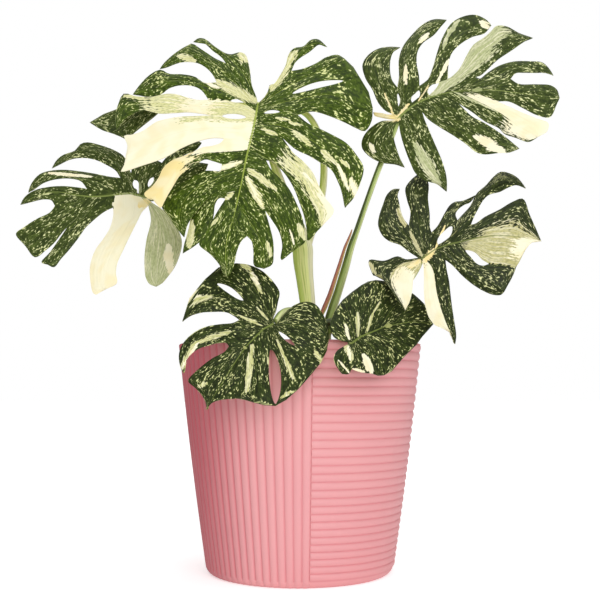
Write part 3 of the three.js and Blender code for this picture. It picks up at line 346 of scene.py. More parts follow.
# the large leaf that faces the front
leaves["A"] = {
    "y": -20, "turn": 0, "lean": -0.52, "bend": 10,
    "midrib": [(258, 104), (256, 115), (253, 130), (246, 159), (241, 186), (235, 212), (226, 246),
               (227, 277)],
    "marks": [0, 1, 2, 3, 4, 6, 8, 11, 15, 20, 26, 32, 38, 46, 56, 66, 74, 82, 92, 102, 112],
    "right": readLobes("""
    lobe 0,1,2 vein 245,76 228,57 211,45.5 193.5,42
    near 256.5,98 251.5,85 249.5,68 245.5,55 240.5,52.5 231,54.5 224.5,53 215,47 204.5,39 198.5,38.5
    far 221.5,57.5 213,51 203.5,42.5
    cut 247,91 236,76 226,63.5 back 6
    lobe 2,3,4 vein 236,84 212,64 185,53 160,69
    near 215,58.5 207.5,53.5 195.5,45.5 193,43.5 186,46.5 177,52 169,58.5 163.5,64
    far 213.5,76 207.5,69 198.5,63.5 188.5,62 181,62.5 174.5,64.5 168,67
    cut 240,94 227,87 216.5,82.5 back 2
    lobe 4,5,6 vein 231,95 205,86 170,81 133,94.5
    near 204.5,83 195,77 182,74.5 169,74 161.5,70 156.5,71 147.5,77 140,85
    far 201,90 192,86 179.5,85.5 169,88.5 161.5,94 151.5,97
    cut 240,101.5 228,101 208.5,99.7 hole 0.2,0.6,2.2 back -6
    lobe 6,7,8 vein 225,108 190,106 150,103.5 124,109 116.4,131
    near 198.5,100.2 186,97.5 177,94.5 166.5,94 151.5,97 136,96.5 124,93.8 118.5,104 115.5,117
    far 200,113.5 188.5,112.3 175.5,113 159,113.5 144,110.5 131,115 122,122
    cut 243,117 222,116 212.7,115.5 hole 0.2,0.8,2.8 back -14
    lobe 8,10,12 vein 225,128 190,130 152,142 126,156
    near 195,116.3 179.5,117 169.5,118.6 156.5,122 149,127 141,132 131,135 124,136 127.5,145
    far 214,138 202.5,140 192,143.5 179.5,149.3 169,155.6 159,160 144,165 121,171.5 124,166
    cut 240,140 224,138.5 back -16 arch -5
    lobe 12,13,14 vein 222,151 200,154 181,164 166,184 153,199.3
    near 221.5,142.5 212.5,146 202.5,147.5 194.5,151.5 184.5,156 174.5,159.5 168,163.5 162.5,169.5 159,177.5
    152,186.8 144.2,193.8 145.5,196.8
    far 212.5,161 205.5,159.5 195,165 187.5,169.5 179.5,176 172.4,187.4 168.8,193.4 164.5,201.5 160.7,207.8
    cut 234,162 222,164 back -20 arch -8
    lobe 14,15,17 vein 215,180 192,192 180,212 184,237
    near 220.5,171 213,171 205,171 196.5,174.5 188.5,179.5 178,186 166,194.5 161.8,206.5 166.8,214 176,227
    far 204.5,202.5 196.5,211.5 190.5,219.5 186.8,227
    cut 226,191 213,194.5 back 12 arch -4
    lobe 17,18,20 vein 221,196 209,210 199,228 183,253
    near 201,203 191.5,216 189.5,226 187.5,234 184.5,244
    far 219.5,197.5 215,204 213.5,216 209,232 196,245
    cut 230,205 226,198.5 back 22
    """),
    "left": readLobes("""
    lobe 0,1,2 vein 272,88 288,67 299,53 314,43.5 327,47
    near 262.5,100 268,92 270,85 274.5,84 280,76 286,65 288.5,55 294,48.5 303.5,46.5 311,40 318,39.5
    far 294.5,63.5 299.5,58.5 309.5,52 319,44.5
    cut 275,88 291.5,71 back 10
    lobe 2,3,4 vein 285,88 318,72 344,58.5
    near 302.5,69 316,63.5 326,57.5 337.5,55
    far 356,71 350,63.5
    cut 280,99 299,91 318,85 342,81 360,78 hole 0.35,0.85,3.2 back 8
    lobe 4,5,7 vein 290,101 330,95 372.5,108
    near 366,88 371,97
    far 312.5,111.5 329.5,116 346,123 356,128 365,131 371.5,121
    cut 270,112 282,112 297.5,115 hole 0.2,0.6,1.8 back 4
    lobe 7,9,10 vein 285,127 318,145 342,170 345,207.5
    near 309.5,124.5 321,129.5 334,136 346,143 356,154.5 363.5,168 360,184 354,197.5
    far 296,149.5 309.5,156 321,163 331,169.5 337.5,181 342,193
    cut 265,131 282,137.5 back -6
    lobe 10,13,14 vein 278,166 303,192 321,227
    near 286,143 293,153 302.5,161 312.5,172.5 319.5,187.5 326,199 334,211
    far 273,161 283,171 293,186 299.5,202.5 304.5,217.5 307,232 307.5,241
    cut 255,160 266,160.5 back -4
    lobe 14,16,17 vein 262,193 279,218 293,251
    near 271,169.5 279.5,178 288,187.5 296,202.5 303,221 305,237 305.5,241.5
    far 272.5,221 279.5,232.5 282.5,246 281,260
    cut 254,205 265,210.5 back -2
    lobe 17,19,20 vein 250,222 262,245 264,268.5
    near 269.5,226 273,241 273.5,254 272,264.5
    far 251.5,241 253.5,252 254.5,266
    cut 239,229 247,236 back 2
    """),
    "tip": readLobes("""
    lobe vein 226,246 227,277
    near 220,207.5 215,216 206.5,231 199,244 210,254 219,264 222.5,272
    far 241.5,241 237,251 234.5,262 231.5,272 back -3
    """)[0],
}
# the leaf at the top right
leaves["B"] = {
    "y": 5, "turn": -0.2, "lean": -0.35, "bend": 8,
    "midrib": [(398, 118.5), (406, 111), (417, 103), (428.5, 98), (440, 94.3), (451, 92), (462, 91),
               (490, 91), (559, 98)],
    "marks": [0, 1, 2, 4, 6, 11, 18, 25, 34, 38, 44, 50, 58, 66, 73, 80],
    "right": readLobes("""
    lobe 0,1,2 vein 388,130 382,147 392,159 404.5,167.5
    near 392,120.5 381,121.5 369.5,129 362.5,139 362,147.5 368,155.5 381,162.5 396,164.5
    far 394.5,124 393,133 396,147 400,158.5
    cut 398.5,120.5 398.6,122 back -4
    lobe 2,4,6 vein 410,126 416,145 428.5,166 446.5,191.5
    near 400.5,133.5 404,146 410.5,163 416,174 426,181 437,184 443,188.5
    far 424.5,119.5 428.5,129 434,142 441,158.5 445.5,172.5 447,182.5
    cut 419,108 422.3,112.2 back -5
    lobe 6,8,11 vein 440,112 462,126 484,140.5 519,148.5
    near 428.5,119.5 441,128 454,136 466.5,144.5 476.5,152.5 485,154.5 499,153 510,152.5
    far 472,116.5 485,123.5 496,130.5 504,136 512.5,143
    cut 449,98 458,103 back -4
    lobe 11,13,15 vein 476,101 499,112.5 518.5,126.5 538,136.5
    near 472,112 485,121.5 499,128.5 504.5,134 516,138 529,142
    far 508.5,106.5 524,113.5 536.5,118.5 548.5,123.5 547,131.5
    cut 480,94.5 497,101.5 back -2
    """),
    "left": readLobes("""
    lobe 0,1,2 vein 385,115.5 373.5,112.5
    near 392,119.3 382,117.7 375,115.8
    far 388,114.8 382,113.4
    cut 396,116 393.5,114.5 back 8
    lobe 2,3,4 vein 389,103 380.5,82 377,63 386,52 400,47.5
    near 385,110.5 378,102.5 372.5,90 365.5,78.5 362.5,65 368,55.5 378,49 389.5,47
    far 392,80 390,70 390.7,59 393.5,52
    cut 398.8,108 399,101 398,95 397.3,87.5 hole 0.3,0.8,1.4 back 6
    lobe 4,5,6 vein 403,90 407,60 419,37 446.5,20
    near 399,78.5 399,59 403.5,46 412,35 423,24.5 434,19.5
    far 419,76 416.6,63 417.5,52 423,43 434,35 441,26.5
    cut 413,99.5 417.5,95 419.5,86 hole 0.15,0.8,3 back 8
    lobe 6,7,9 vein 430,80 443,52 463,32 491,25.5
    near 427.5,80.5 433.5,66 437,53.5 442.5,38 451,24 461,17.5 475,15 487,20.5
    far 448,70 450.5,56 456.5,47.5 471,37.5 485,33
    cut 430,91 436,84.5 448,79 hole 0.1,0.7,3.4 back 10
    lobe 9,10,12 vein 469,67 488,49 509,36.5 532.5,38
    near 451,77.5 459.5,69 466.5,56 473.5,45 485,37 491.5,31 496.5,26 507,26.7 518.5,33
    far 480.5,75.5 487.5,69.5 497.5,60 511.5,50.5 524,42
    cut 464,85 475.5,77 back 8
    lobe 12,13,15 vein 476,84 497,75.5 518,67 553,75
    near 479.5,79 487.5,73 499,66 514,61.7 531,61.5 542,62.5 548,67.5
    far 515.5,73.3 524,72.8 536.5,73 546.5,72.3
    cut 494,85 510.5,79 back 4
    """),
    "tip": readLobes("""
    lobe vein 490,90 525,94 559.3,98
    near 508.5,101.5 522.5,108 536.5,115 550,117.2 556.5,105
    far 518.5,84 536.5,84.5 550.5,85.5 557,90 back -2
    """)[0],
}
# the leaf at the right
leaves["C"] = {
    "y": -58, "turn": -0.1, "lean": -0.6, "bend": 6,
    "midrib": [(421, 259), (428, 254.5), (435, 249.7), (445, 245.4), (455.7, 243), (469, 240), (481, 237.5),
               (499, 235.5), (517.5, 237), (541, 241)],
    "marks": [0, 1, 2, 3, 4, 6, 8, 10, 14, 18, 24, 30, 36, 42],
    "right": readLobes("""
    lobe 0,3,8 vein 432,268 437,295 444,318 455,343.5
    near 423.5,266 424,277 424,291 425.5,305.5 429,317.5 435,325 445,329.5 451,333.5
    far 446.5,269 449,281 451,299.5 453.5,317.5 456,335.5
    cut 440,252 445.5,260 back -8
    lobe 8,10,13 vein 452,256.5 468,270 485,279.5 504,291.5
    near 452,265 462,275.5 471.5,283.5 482.5,290.5 493,294.7 500.5,295
    far 513.5,274.5 510,281.5
    cut 464,249 473,255 481,262.5 500,265 516,267.5 hole 0.15,0.6,3.6 back -10
    """),
    "left": readLobes("""
    lobe 0,1,2 vein 400,266 391,281 405,310.3
    near 421,267 417.5,272 413.5,279 412,292 409.5,302
    far 406,259.5 397.5,256.5 384,261 369.5,260 368.5,263 371,270.5 374,276 380,274.5 384.5,281.5 390.5,289
    397.5,300.5
    cut 418.5,258 back -16 arch 5
    lobe 2,3,4 vein 410,241 395,222 389,205 399.5,189
    near 408.5,251.5 400,245 389,241 382,235 378.2,225.5 379,217 383,205 387,195 393,189.5
    far 404,219.5 401,212 399,202.5 397.5,195
    cut 416,243 408.7,225.5 back 6
    lobe 4,5,6 vein 421,236 417,210 416,190 424,175.5
    near 410.5,212 407.3,201 405.3,189 408.5,183 414.5,177 419.5,174
    far 430,227.5 429.7,214.5 428,199 428.5,184
    cut 428.5,243 431.5,232.5 back 8
    lobe 6,7,9 vein 434,238 446,215 459,204 475,195.7
    near 437.5,226.5 444.8,213.5 449.5,206 454.5,202.3 463,201
    far 455.5,214.5 458,209.7 464,205 470,202.5
    cut 440,241 447,234 453,224.5 457.5,220.5 hole 0.15,0.8,4.2 back 14
    lobe 9,10,13 vein 459,228 474,207 489,189 504,180 525.5,188
    near 463,214.5 470.5,206 476.5,194 486,185.5 493.5,177 500.5,172 509,173.3 517.5,178
    far 474,217 478.5,208.5 482.5,201 488.5,195 499.5,192 508,187.8 516,185
    cut 463,232 471,224.7 back 12
    """),
    "tip": readLobes("""
    lobe vein 481,237.5 499,235.5 517.5,237 541,241.2
    near 518.5,263 522.5,254.5 528.5,243.5
    far 475,224 485,217 499.5,209.7 512.5,202 523,199 529.5,214.5 535.5,228 back 3
    """)[0],
}
# the leaf at the left, behind the large one
leaves["D"] = {
    "y": 30, "turn": -0.1, "lean": -0.4, "bend": 4,
    "midrib": [(146, 198), (130.5, 193.5), (117, 194.5), (104, 196.5), (90.5, 197), (77, 195.5), (55, 192),
               (36, 196), (21, 204)],
    "marks": [0, 1, 2, 3, 4, 6, 8, 11, 14, 24, 32, 43, 50, 57, 66],
    "right": readLobes("""
    lobe 0,1,2 vein 160,190 180,180 208,164
    near 152,200 164,194 186,184 204,173
    far 164,184 180,172 196,163
    cut 149,193 151,190 back -6
    lobe 2,3,4 vein 158,176 174,158 201.5,143
    near 157,184 167,170 183,156 196,150
    far 166,158 172,153.5 180,148 196,140.5
    cut 148.5,187 153,178 162,163 hole 0.28,0.58,2.6 back 8
    lobe 4,6,7 vein 139,178 142,165 151,146
    near 157,160 153,151
    far 133,165 136,155 144,146
    cut 140,190.5 135.5,182.5 131,173 hole 0.1,0.72,4.6 back 8
    lobe 7,8,9 vein 124,172 108,157 85,150.5 52,168.3
    near 127,162 124,156.5 114.5,150.5 101,145.5 87.5,142.5 81,144 75.5,150.5 63.5,155 57,160
    far 116,171 106.5,165 95.5,160 82.5,158 69,160 59.5,164.5
    cut 122,184 120.5,178 back 6
    lobe 9,10,14 vein 100,184 75,176.5 50,176.5 28.5,192.3
    near 110.5,177 95.5,174 79.5,171.5 63.5,170 50,171 40.5,174 34,180 30,187
    far 81,181.5 70.5,178.5 57,179 43.5,183 34,189.5
    cut 84,191.5 87,189 back 4
    """),
    "left": readLobes("""
    lobe 0,3,5 vein 157,214 162,240 159,265 156,286.5
    near 153,203.5 164,211 173.5,222 180,234 182,243 180,254 174.5,267.5 166.5,278.5 162,283.5
    far 151,220.5 146.5,240.5 144.5,260.5 146,278 149.5,284
    cut 145,202 148.5,205.5 back -10 arch -4
    lobe 5,8,10 vein 134,212 121.5,236 109,260 104,290
    near 142,212 138.5,219 130.5,235 124,248.5 117,264.5 116,274 117,283
    far 113.5,213.5 110.5,227 103.5,239 95.5,250 90.5,264.5 90.5,281 94.5,294.5
    cut 113.3,202 113,207.5 back -16 arch -8
    lobe 10,11,12 vein 85,216 68,238 48,264.5
    near 104,212 90.5,223 85,228.5 78.5,238 69,250 61,259 54,267.3
    far 59.5,239 50,252.5 41.5,262.5
    cut 88,207 68.3,226 back -4
    lobe 12,13,14 vein 75,208 50,225 26,246.5
    near 63.5,231 54,243 46,250 35,257.3
    far 50,212.5 37,219 24.5,227 16,234
    cut 62,203 55,206 back 2
    """),
    "tip": readLobes("""
    lobe vein 55,192 36,196.5 20.7,204.6
    near 77,187.5 63.5,186.3 50,187 37,189.7 28.5,194 23.5,199
    far 51.5,200.5 43.5,199.5 30,202.3 back 4
    """)[0],
}
# the leaf that hangs over the front of the rim
leaves["E"] = {
    "y": -112, "turn": 0, "lean": -0.35, "bend": 4,
    "midrib": [(274, 323.5), (263.5, 329), (257.5, 335), (250.5, 342), (242.5, 350), (233.5, 365),
               (224.5, 379.5), (215, 394.5), (207, 409)],
    "marks": [0, 1, 2, 4, 6, 8, 12, 17, 22, 27, 32, 36],
    "right": readLobes("""
    lobe 0,1,2 vein 262,300 250,282 236,263.5
    near 273,319 276,311 278,302 279.5,292.5 272.5,281 262,271 248.5,265
    far 213,271.5 223,265.5
    cut 252,307 239,297.5 229,290 219,284.5 205,279.5 hole 0.45,0.85,3.2 back 4
    lobe 2,3,5 vein 240,308 210,300 182.5,321.2
    near 196.5,289 187.5,301.5 183,313
    far 234.5,316.5 226.5,312.5 211.5,312 200,313 190,316
    cut 250,323 239.3,320 back 2
    lobe 5,7,11 vein 240,332 210,335 190,348 183.5,372.8
    near 233.5,323 219.5,324.5 206,327 194.5,332.5 185.5,340.5 180.5,348.5 179,357 181,368
    far 226.5,343.2 219.5,343 209.5,345.3 196.5,350 187.5,358 184.5,365
    cut 239,348 229,346.6 back 4
    """),
    "left": readLobes("""
    lobe 0,1,2 vein 298,326 328.8,338
    near 277,323.5 281.5,317.5 288.5,309.5 298,303.5 308,302 316,305 323,314.5 327.5,326
    far 326.5,351
    cut 279,332 283,335.5 294,345 306,353 320.7,363 hole 0.15,0.5,2.2 back 2
    lobe 2,4,5 vein 284,352 292,375 297.5,389.5
    near 310,375.5 303,384
    far 291,396 282,402.7
    cut 269,345 271.5,352 274,365 275.5,385 275.5,403 275.5,406 hole 0.28,0.97,6 back -3
    lobe 5,9,11 vein 256,366 254,402.3
    near 267,405.5
    far 246,400
    cut 240,375 236,398.5 back -2
    """),
    "tip": readLobes("""
    lobe vein 233.5,365 224.5,379.5 215,394.5 207,409
    near 224.5,352 213,358 203.5,365 195.5,372 188,381 195.5,388 202.5,396 206,403
    far 226.5,398 215,399 209.5,403 back -2
    """)[0],
}
# the small leaf without cuts
leaves["F"] = {
    "y": -120, "turn": 0.6, "lean": -0.6, "bend": 12,
    "midrib": [(351, 344), (360, 337), (370, 333), (384, 327), (412, 322.3), (433, 324.3)],
    "marks": [0, 1, 2, 4, 6, 9, 12, 17, 22, 27, 32, 38],
    "right": readLobes("""
    lobe 0,1,2 vein 345,356 342,373.5
    near 349,344.3 343.5,346.8 337,351 333.7,358 336.5,366.5
    far 348.5,374
    cut 352,356 351.5,369 back -2
    lobe 2,3,4 vein 358,357 361,372
    near 355.5,370.5
    far 366,372.8
    cut 365,357 371.5,373.7 back -4
    lobe 4,6,7 vein 376,352 384,375
    near 377.5,375.5
    far 390.5,372
    cut 387,347 397,365
    lobe 7,9,11 vein 394,341 409,351.5
    near 403.5,357
    far 415.5,345.5
    cut 405,331 422,337
    """),
    "left": readLobes("""
    lobe 0,1,2 vein 342,336 330,327.5
    near 347.5,342 340.5,340.5 333.7,337
    far 331.5,319
    cut 345,326 334,313 back 3
    lobe 2,4,5 vein 350,318 343,300
    near 338,306.5
    far 350.5,293.5
    cut 362,308 361,285.5 back 3
    lobe 5,7,9 vein 370,310 376,280.3
    near 367.5,282
    far 388,282
    cut 386,306 398,286.5
    lobe 9,10,11 vein 395,306 413,294
    near 406,290
    far 419.5,299.5
    cut 405,313 424.5,304.5
    """),
    "tip": readLobes("""
    lobe vein 412,322.3 433,324.3
    near 427,331
    far 428,316
    """)[0],
}
# the leaf behind the large one, of which only the end shows
leaves["G"] = {
    "y": 12, "turn": 0, "lean": -0.3, "bend": 4,
    "midrib": [(212, 105), (180, 104), (150, 105), (125, 110), (107, 116.5), (90, 122.5)],
    "marks": [0, 2, 5, 20, 36, 50, 64, 75],
    "right": readLobes("""
    lobe 0,1,2 vein 208,101.5
    near 211,103
    far 205,101.5
    cut 203,101.5
    lobe 2,3,5 vein 186,99.5 172,97.5
    near 188,98
    far 160,98
    cut 152,100 148,99
    lobe 5,6,7 vein 138,104 131,101
    near 140,99.5
    far 126,102
    cut 124,107 119,108.5
    """),
    "left": readLobes("""
    lobe 0,1,2 vein 208,108
    near 211,107
    far 206,108.3
    cut 204,108.3
    lobe 2,3,4 vein 188,109 180,110.5
    near 190,110
    far 172,110
    cut 168,107.5 164,108.5
    lobe 4,5,7 vein 146,114 137,127 127,139.7
    near 152,112 147,119 141,129
    far 117,135.3
    cut 127,122 110.5,132.8 back -3
    """),
    "tip": readLobes("""
    lobe vein 107,116.5 90,122.5
    near 114.5,112 105.5,113.5
    far 103,130.5
    """)[0],
}

# Patches of other colours on each leaf: from one place on the sheet to another, and how far they
# reach to each side.
patches = {
    "A": """
    cream 206,83,219,88,1.8 242,162,214,171,1.6 338,165,348,189,1.6 351,180,357,198,2.5 303,172,338,212,1.6
    247,178,263,207,1.6 290,230,294,245,1.2
    pale 240,55,249,60,5 250,60,254,85,2 272,88,290,60,5 290,60,296,52,4 192,222,189,246,4 123,96,143,99,2
    117,130,143,112,1.5 217,82,255,101,5 178,56,195,61,3 242,162,214,171,2.6 293,131,312,146,2.8
    322,151,334,162,3 338,165,348,189,2.6 351,180,357,198,4.5 340,160,349,167,2 262,129,277,135,2
    275,118,290,120.5,1.4 289,123,302,125.5,1.5 303,172,338,212,3 249,170,276,189,3.2 247,178,263,207,3.8
    299,225,304,239,3 267,242,271,256,2 233,193,226,199,2.6 218,218,212,226,1.4
    """,
    "B": """
    cream 370,143,374,153,2.4 476,137,503,152,5 480,22,489,28,3 433,92,447,62,1.4 442,74,449,60,2
    405,85,406,65,2.2 420,42,428,34,2.6
    butter 398,119,376,114,4 398,116,409,104,1.4 384,93,394,115,0.9 418,102,429,85,0.9
    pale 416,146,438,184,6 452,91,498,112,1.2 443,50,447,38,2 447,38,459,20,2.2
    """,
    "C": """
    butter 420,261,409,267,3 424,262,434,250,3 435,250,445,226,1.2
    pale 398,210,405,226,3 410,232,422,256,2 369,262,376,275,2
    """,
    "D": """
    cream 169,246,170,272,4 48,173,92,177,1.6
    butter 150,200,139,206,4
    """,
    "E": """
    cream 188,300,198,294,3 252,273,259,284,1.6 198,343,182,368,1.6
    pale 186,303,210,297,3.4 240,262,250,270,3 250,270,261,293,2.6 230,332,196,343,2.4 196,343,182,368,3.4
    252,346,247,391,3 277,340,284,357,1.6 285,357,293,378,2.2 198,387,207,383,2 314,350,322,364,2.4
    268,358,270,367,1.6 281,398,290,392,2 238,315,262,326,1.3 256,307,268,320,1.2
    """,
    "F": """
    cream 345,325,349,339,1.8 364,356,371,372,4 348,347,350,360,1.8 338,360,349,373,1 353,369,364,372,1.4
    pale 345,345,352,358,3 357,313,358,336,2 380,302,373,313,1.1 373,313,367,331,1.5
    """,
    "G": "",
}

# Whole lobes or parts of them in another colour: the number of the lobe, its half (0 near, 1 far,
# 2 both), how far along the lobe from and to, and how far from the vein from and to.
tones = {
    "A": """
    cream 3,2,0.3,0.5,0,1 4,1,0,1,0,1 4,0,0,1,0,0.62 4,0,0.5,1,0,1 5,0,0,0.5,0,1 12,0,0.7,1,0.6,1
    butter 5,2,0.5,1,0,1
    pale 3,2,0,0.72,0,1 4,0,0,0.75,0,1 12,0,0.36,1,0.15,1
    """,
    "B": "cream 3,1,0.1,1,0,1 3,0,0.64,1,0,0.8 pale 8,0,0,0.8,0,1 8,1,0,0.62,0,0.5",
    "C": """
    cream 0,0,0.05,0.9,0,1 2,0,0.3,1,0.1,1 7,0,0.7,1,0,0.7
    pale 2,0,0.05,0.6,0,1 7,0,0.1,1,0,1 7,1,0.3,0.95,0,0.35
    """,
    "D": "cream 6,2,0,1,0,1 pale 5,2,0,1,0,1",
    "E": "",
    "F": "",
    "G": "",
}

markings = ("cream", "butter", "pale")
blades = {
    "rows": 48,  # along a lobe
    "fineness": 6,  # columns between two marks of the midrib
    "thickness": 0.7,
    "groove": 0.5,  # how deep the side veins lie in the upper side
    "grooveWidth": 1.8,
    "settling": 0.15,  # the share of a lobe in which that relief sets in
    "puff": 0.9,  # how far the blade swells between its veins
    "camber": 1.8,  # how far the free edges fall back
    "waves": 1.5,  # of the whole blade
    "waveScale": 0.045,
    "ripples": 1.4,  # of the free edges
    "rippleScale": 0.11,
    "underRib": 1.1,
    "underVein": 0.45,
    "ribWidth": 1.2,
    "veinWidth": 0.7,
    "ribTaper": 0.65,  # what the midrib loses of its width
    "veinTaper": 0.7,
    "fading": 0.85,  # the share of a lobe after which its vein fades out
    "lobeOffset": 140.0,  # sets the grain of one lobe apart from the next
    "seed": 7.3,
}


def streakShare(spot, streaks):
    # how far into a patch, 0.5 at its edge
    most = 0.0
    for x1, y1, x2, y2, reach in streaks:
        if abs(spot.x - (x1 + x2) / 2) > abs(x2 - x1) / 2 + 2 * reach:
            continue
        if abs(spot.y - (y1 + y2) / 2) > abs(y2 - y1) / 2 + 2 * reach:
            continue
        start = Vector((x1, y1))
        along = Vector((x2 - x1, y2 - y1))
        t = max(0.0, min(1.0, (spot - start).dot(along) / along.length_squared))
        away = (spot - start - along * t).length
        width = reach * (0.55 + 0.45 * math.sin(math.pi * t))
        most = max(most, 1 - away / (2 * width))
    return max(0.0, most)


def toneShare(places, half, s, w):
    # how far into the part of a lobe that has this colour
    most = 0.0
    for number, which, start, end, low, high in places:
        if which not in (half, 2):
            continue
        inside = [1.0, (s - start) / 0.2 if start else 1.0, (end - s) / 0.2 if end < 1 else 1.0]
        inside += [(w - low) / 0.5 if low else 1.0, (high - w) / 0.5 if high < 1 else 1.0]
        most = max(most, 0.5 + min(inside) / 2)
    return most


def cutLine(start, item, rows, side):
    # from the midrib to the bottom of a cut; round a hole the two sides of it part for a while
    line = spread([start, *item["cut"]], rows)
    if not item["hole"]:
        return line
    begin, end, width = item["hole"]
    first = max(1, round(begin * rows))
    last = min(rows - 1, max(first + 2, round(end * rows)))
    parted = list(line)
    for i in range(first + 1, last):
        across = (line[i + 1] - line[i - 1]).normalized()
        apart = width * math.sin(math.pi * (i - first) / (last - first)) ** 0.6 * side
        parted[i] = line[i] + Vector((across.y, -across.x)) * apart
    return parted


def buildLeaf(letter, leaf, material):
    rows = blades["rows"]
    fineness = blades["fineness"]
    midrib = [Vector(p) for p in leaf["midrib"]]
    ribLengths = measure(midrib)
    base = midrib[0]
    axis = (midrib[-1] - base).normalized()
    spots = readTable(patches[letter], *markings)
    areas = readTable(tones[letter], *markings)
    bm = bmesh.new()
    uvLayer = bm.loops.layers.uv.new("grain")
    layers = {key: bm.verts.layers.float.new(key) for key in (*markings, "rib", "vein", "under")}

    def markPoint(mark):
        k = int(mark)
        length = leaf["marks"][k]
        if mark > k:
            length += (leaf["marks"][k + 1] - length) * (mark - k)
        return pointAt(midrib, ribLengths, min(length, ribLengths[-1]))

    def depth(p):
        d = p - base
        aside = (d.x * axis.y - d.y * axis.x) / 100
        return leaf["y"] + leaf["turn"] * d.x + leaf["lean"] * d.y + leaf["bend"] * aside**2

    def own(item, s):
        return item["back"] * s * s + item["arch"] * math.sin(math.pi * s)

    def prepare(item):
        first, root, last = item["at"]
        vein = spread([markPoint(root), *item["vein"]], rows)
        share = (markPoint(last) - item["cut"][-1]).length / (markPoint(root) - vein[-1]).length
        least = 4 if item["hole"] else 1
        cutRows = max(least, min(rows - 2, round(share * rows)))
        return {"item": item, "vein": vein, "rows": cutRows, "end": markPoint(last)}

    def edgeLine(cut, points, tip, side):
        if not cut:
            return spread([markPoint(0), *points, tip], rows)
        inner = cutLine(cut["end"], cut["item"], cut["rows"], side)
        outer = spread([cut["item"]["cut"][-1], *points, tip], rows - cut["rows"])
        return inner + outer[1:]

    def addStrip(number, item, vein, before, after, neighbours, starts, columns, side):
        near = edgeLine(before, item["near"], vein[-1], side)
        far = edgeLine(after, item["far"], vein[-1], -side)
        edges = [near, far]
        cutRows = [before["rows"] if before else 0, after["rows"]]
        total = columns[0] + columns[1]
        veinLengths = measure(vein)
        middle = rows // 2
        widths = [max(2.0, (edges[k][middle] - vein[middle]).length) for k in (0, 1)]
        made = bmesh.ops.create_grid(bm, x_segments=total, y_segments=rows, size=0.5)["verts"]
        whole = {key: [area for area in areas[key] if area[0] == number] for key in markings}
        grains = {}
        for index, vert in enumerate(made):
            i, j = divmod(index, total + 1)
            column = j if side > 0 else total - j
            which = 0 if column <= columns[0] else 1
            w = abs(column - columns[0]) / columns[which]
            s = i / rows
            spot = vein[i].lerp(edges[which][i], w)
            first = vein[0].lerp(edges[which][0], w)
            spot = spot + (starts[column] - first) * (1 - s) ** 4
            here = own(item, s)
            atEdge = here
            other = neighbours[which]
            if other:
                row = min(i, cutRows[which])
                fade = 1 - (i - row) / (rows - row)
                atEdge += (own(other, row / rows) - own(item, row / rows)) / 2 * fade**2
            free = max(0.0, (i - cutRows[which]) / (rows - cutRows[which]))
            away = (spot - vein[i]).length
            settled = soft(0.0, blades["settling"], s)
            bumps = blades["groove"] * math.exp(-((away / blades["grooveWidth"]) ** 2)) * settled * (1 - s)
            bumps -= blades["puff"] * math.sin(math.pi * w) * settled * (1 - s)
            bumps += blades["camber"] * w * w * soft(0.0, 0.5, free)
            wave = noise.noise(Vector((spot.x, spot.y, blades["seed"])) * blades["waveScale"])
            ripple = noise.noise(Vector((spot.x, spot.y, 2.0)) * blades["rippleScale"])
            bumps += blades["waves"] * wave
            bumps += blades["ripples"] * free * w * w * ripple
            vert.co = place(spot.x, spot.y, depth(spot) + here * (1 - w) + atEdge * w + bumps)
            # how far the midrib and the vein are, in widths of them
            taper = 1 - blades["ribTaper"] * soft(0, 1, (spot - base).dot(axis) / ribLengths[-1])
            ribAway = min((spot - starts[column]).length, 60.0)
            if item is leaf["tip"]:
                ribAway = away
                taper *= 1 - 0.8 * s
            ending = 3 * soft(blades["fading"], 1, s)
            veinWidth = blades["veinWidth"] * (1 - blades["veinTaper"] * s)
            vert[layers["rib"]] = ribAway / (blades["ribWidth"] * taper) + ending
            vert[layers["vein"]] = away / veinWidth + 2 * (1 - settled) + ending
            for key in markings:
                vert[layers[key]] = max(streakShare(spot, spots[key]), toneShare(whole[key], which, s, w))
            signed = w * widths[which] * (1 if which else -1)
            grains[vert] = (signed + blades["lobeOffset"] * number, veinLengths[i])
        for face in {f for vert in made for f in vert.link_faces}:
            for loop in face.loops:
                loop[uvLayer].uv = grains[loop.vert]

    lastOnes = []
    number = 0
    for side, key in ((1, "right"), (-1, "left")):
        ready = [prepare(item) for item in leaf[key]]
        for i, strip in enumerate(ready):
            first, root, last = strip["item"]["at"]
            before = ready[i - 1] if i else None
            following = ready[i + 1]["item"] if i + 1 < len(ready) else leaf["tip"]
            neighbours = [before and before["item"], following]
            columns = [(root - first) * fineness, (last - root) * fineness]
            starts = [markPoint(first + k / fineness) for k in range(sum(columns) + 1)]
            addStrip(number, strip["item"], strip["vein"], before, strip, neighbours, starts, columns, side)
            number += 1
        lastOnes.append(ready[-1])
    end = markPoint(len(leaf["marks"]) - 1)
    vein = spread([end, *leaf["tip"]["vein"]], rows)
    columns = [2 * fineness, 2 * fineness]
    neighbours = [lastOnes[0]["item"], lastOnes[1]["item"]]
    starts = [end] * (sum(columns) + 1)
    addStrip(number, leaf["tip"], vein, lastOnes[0], lastOnes[1], neighbours, starts, columns, 1)

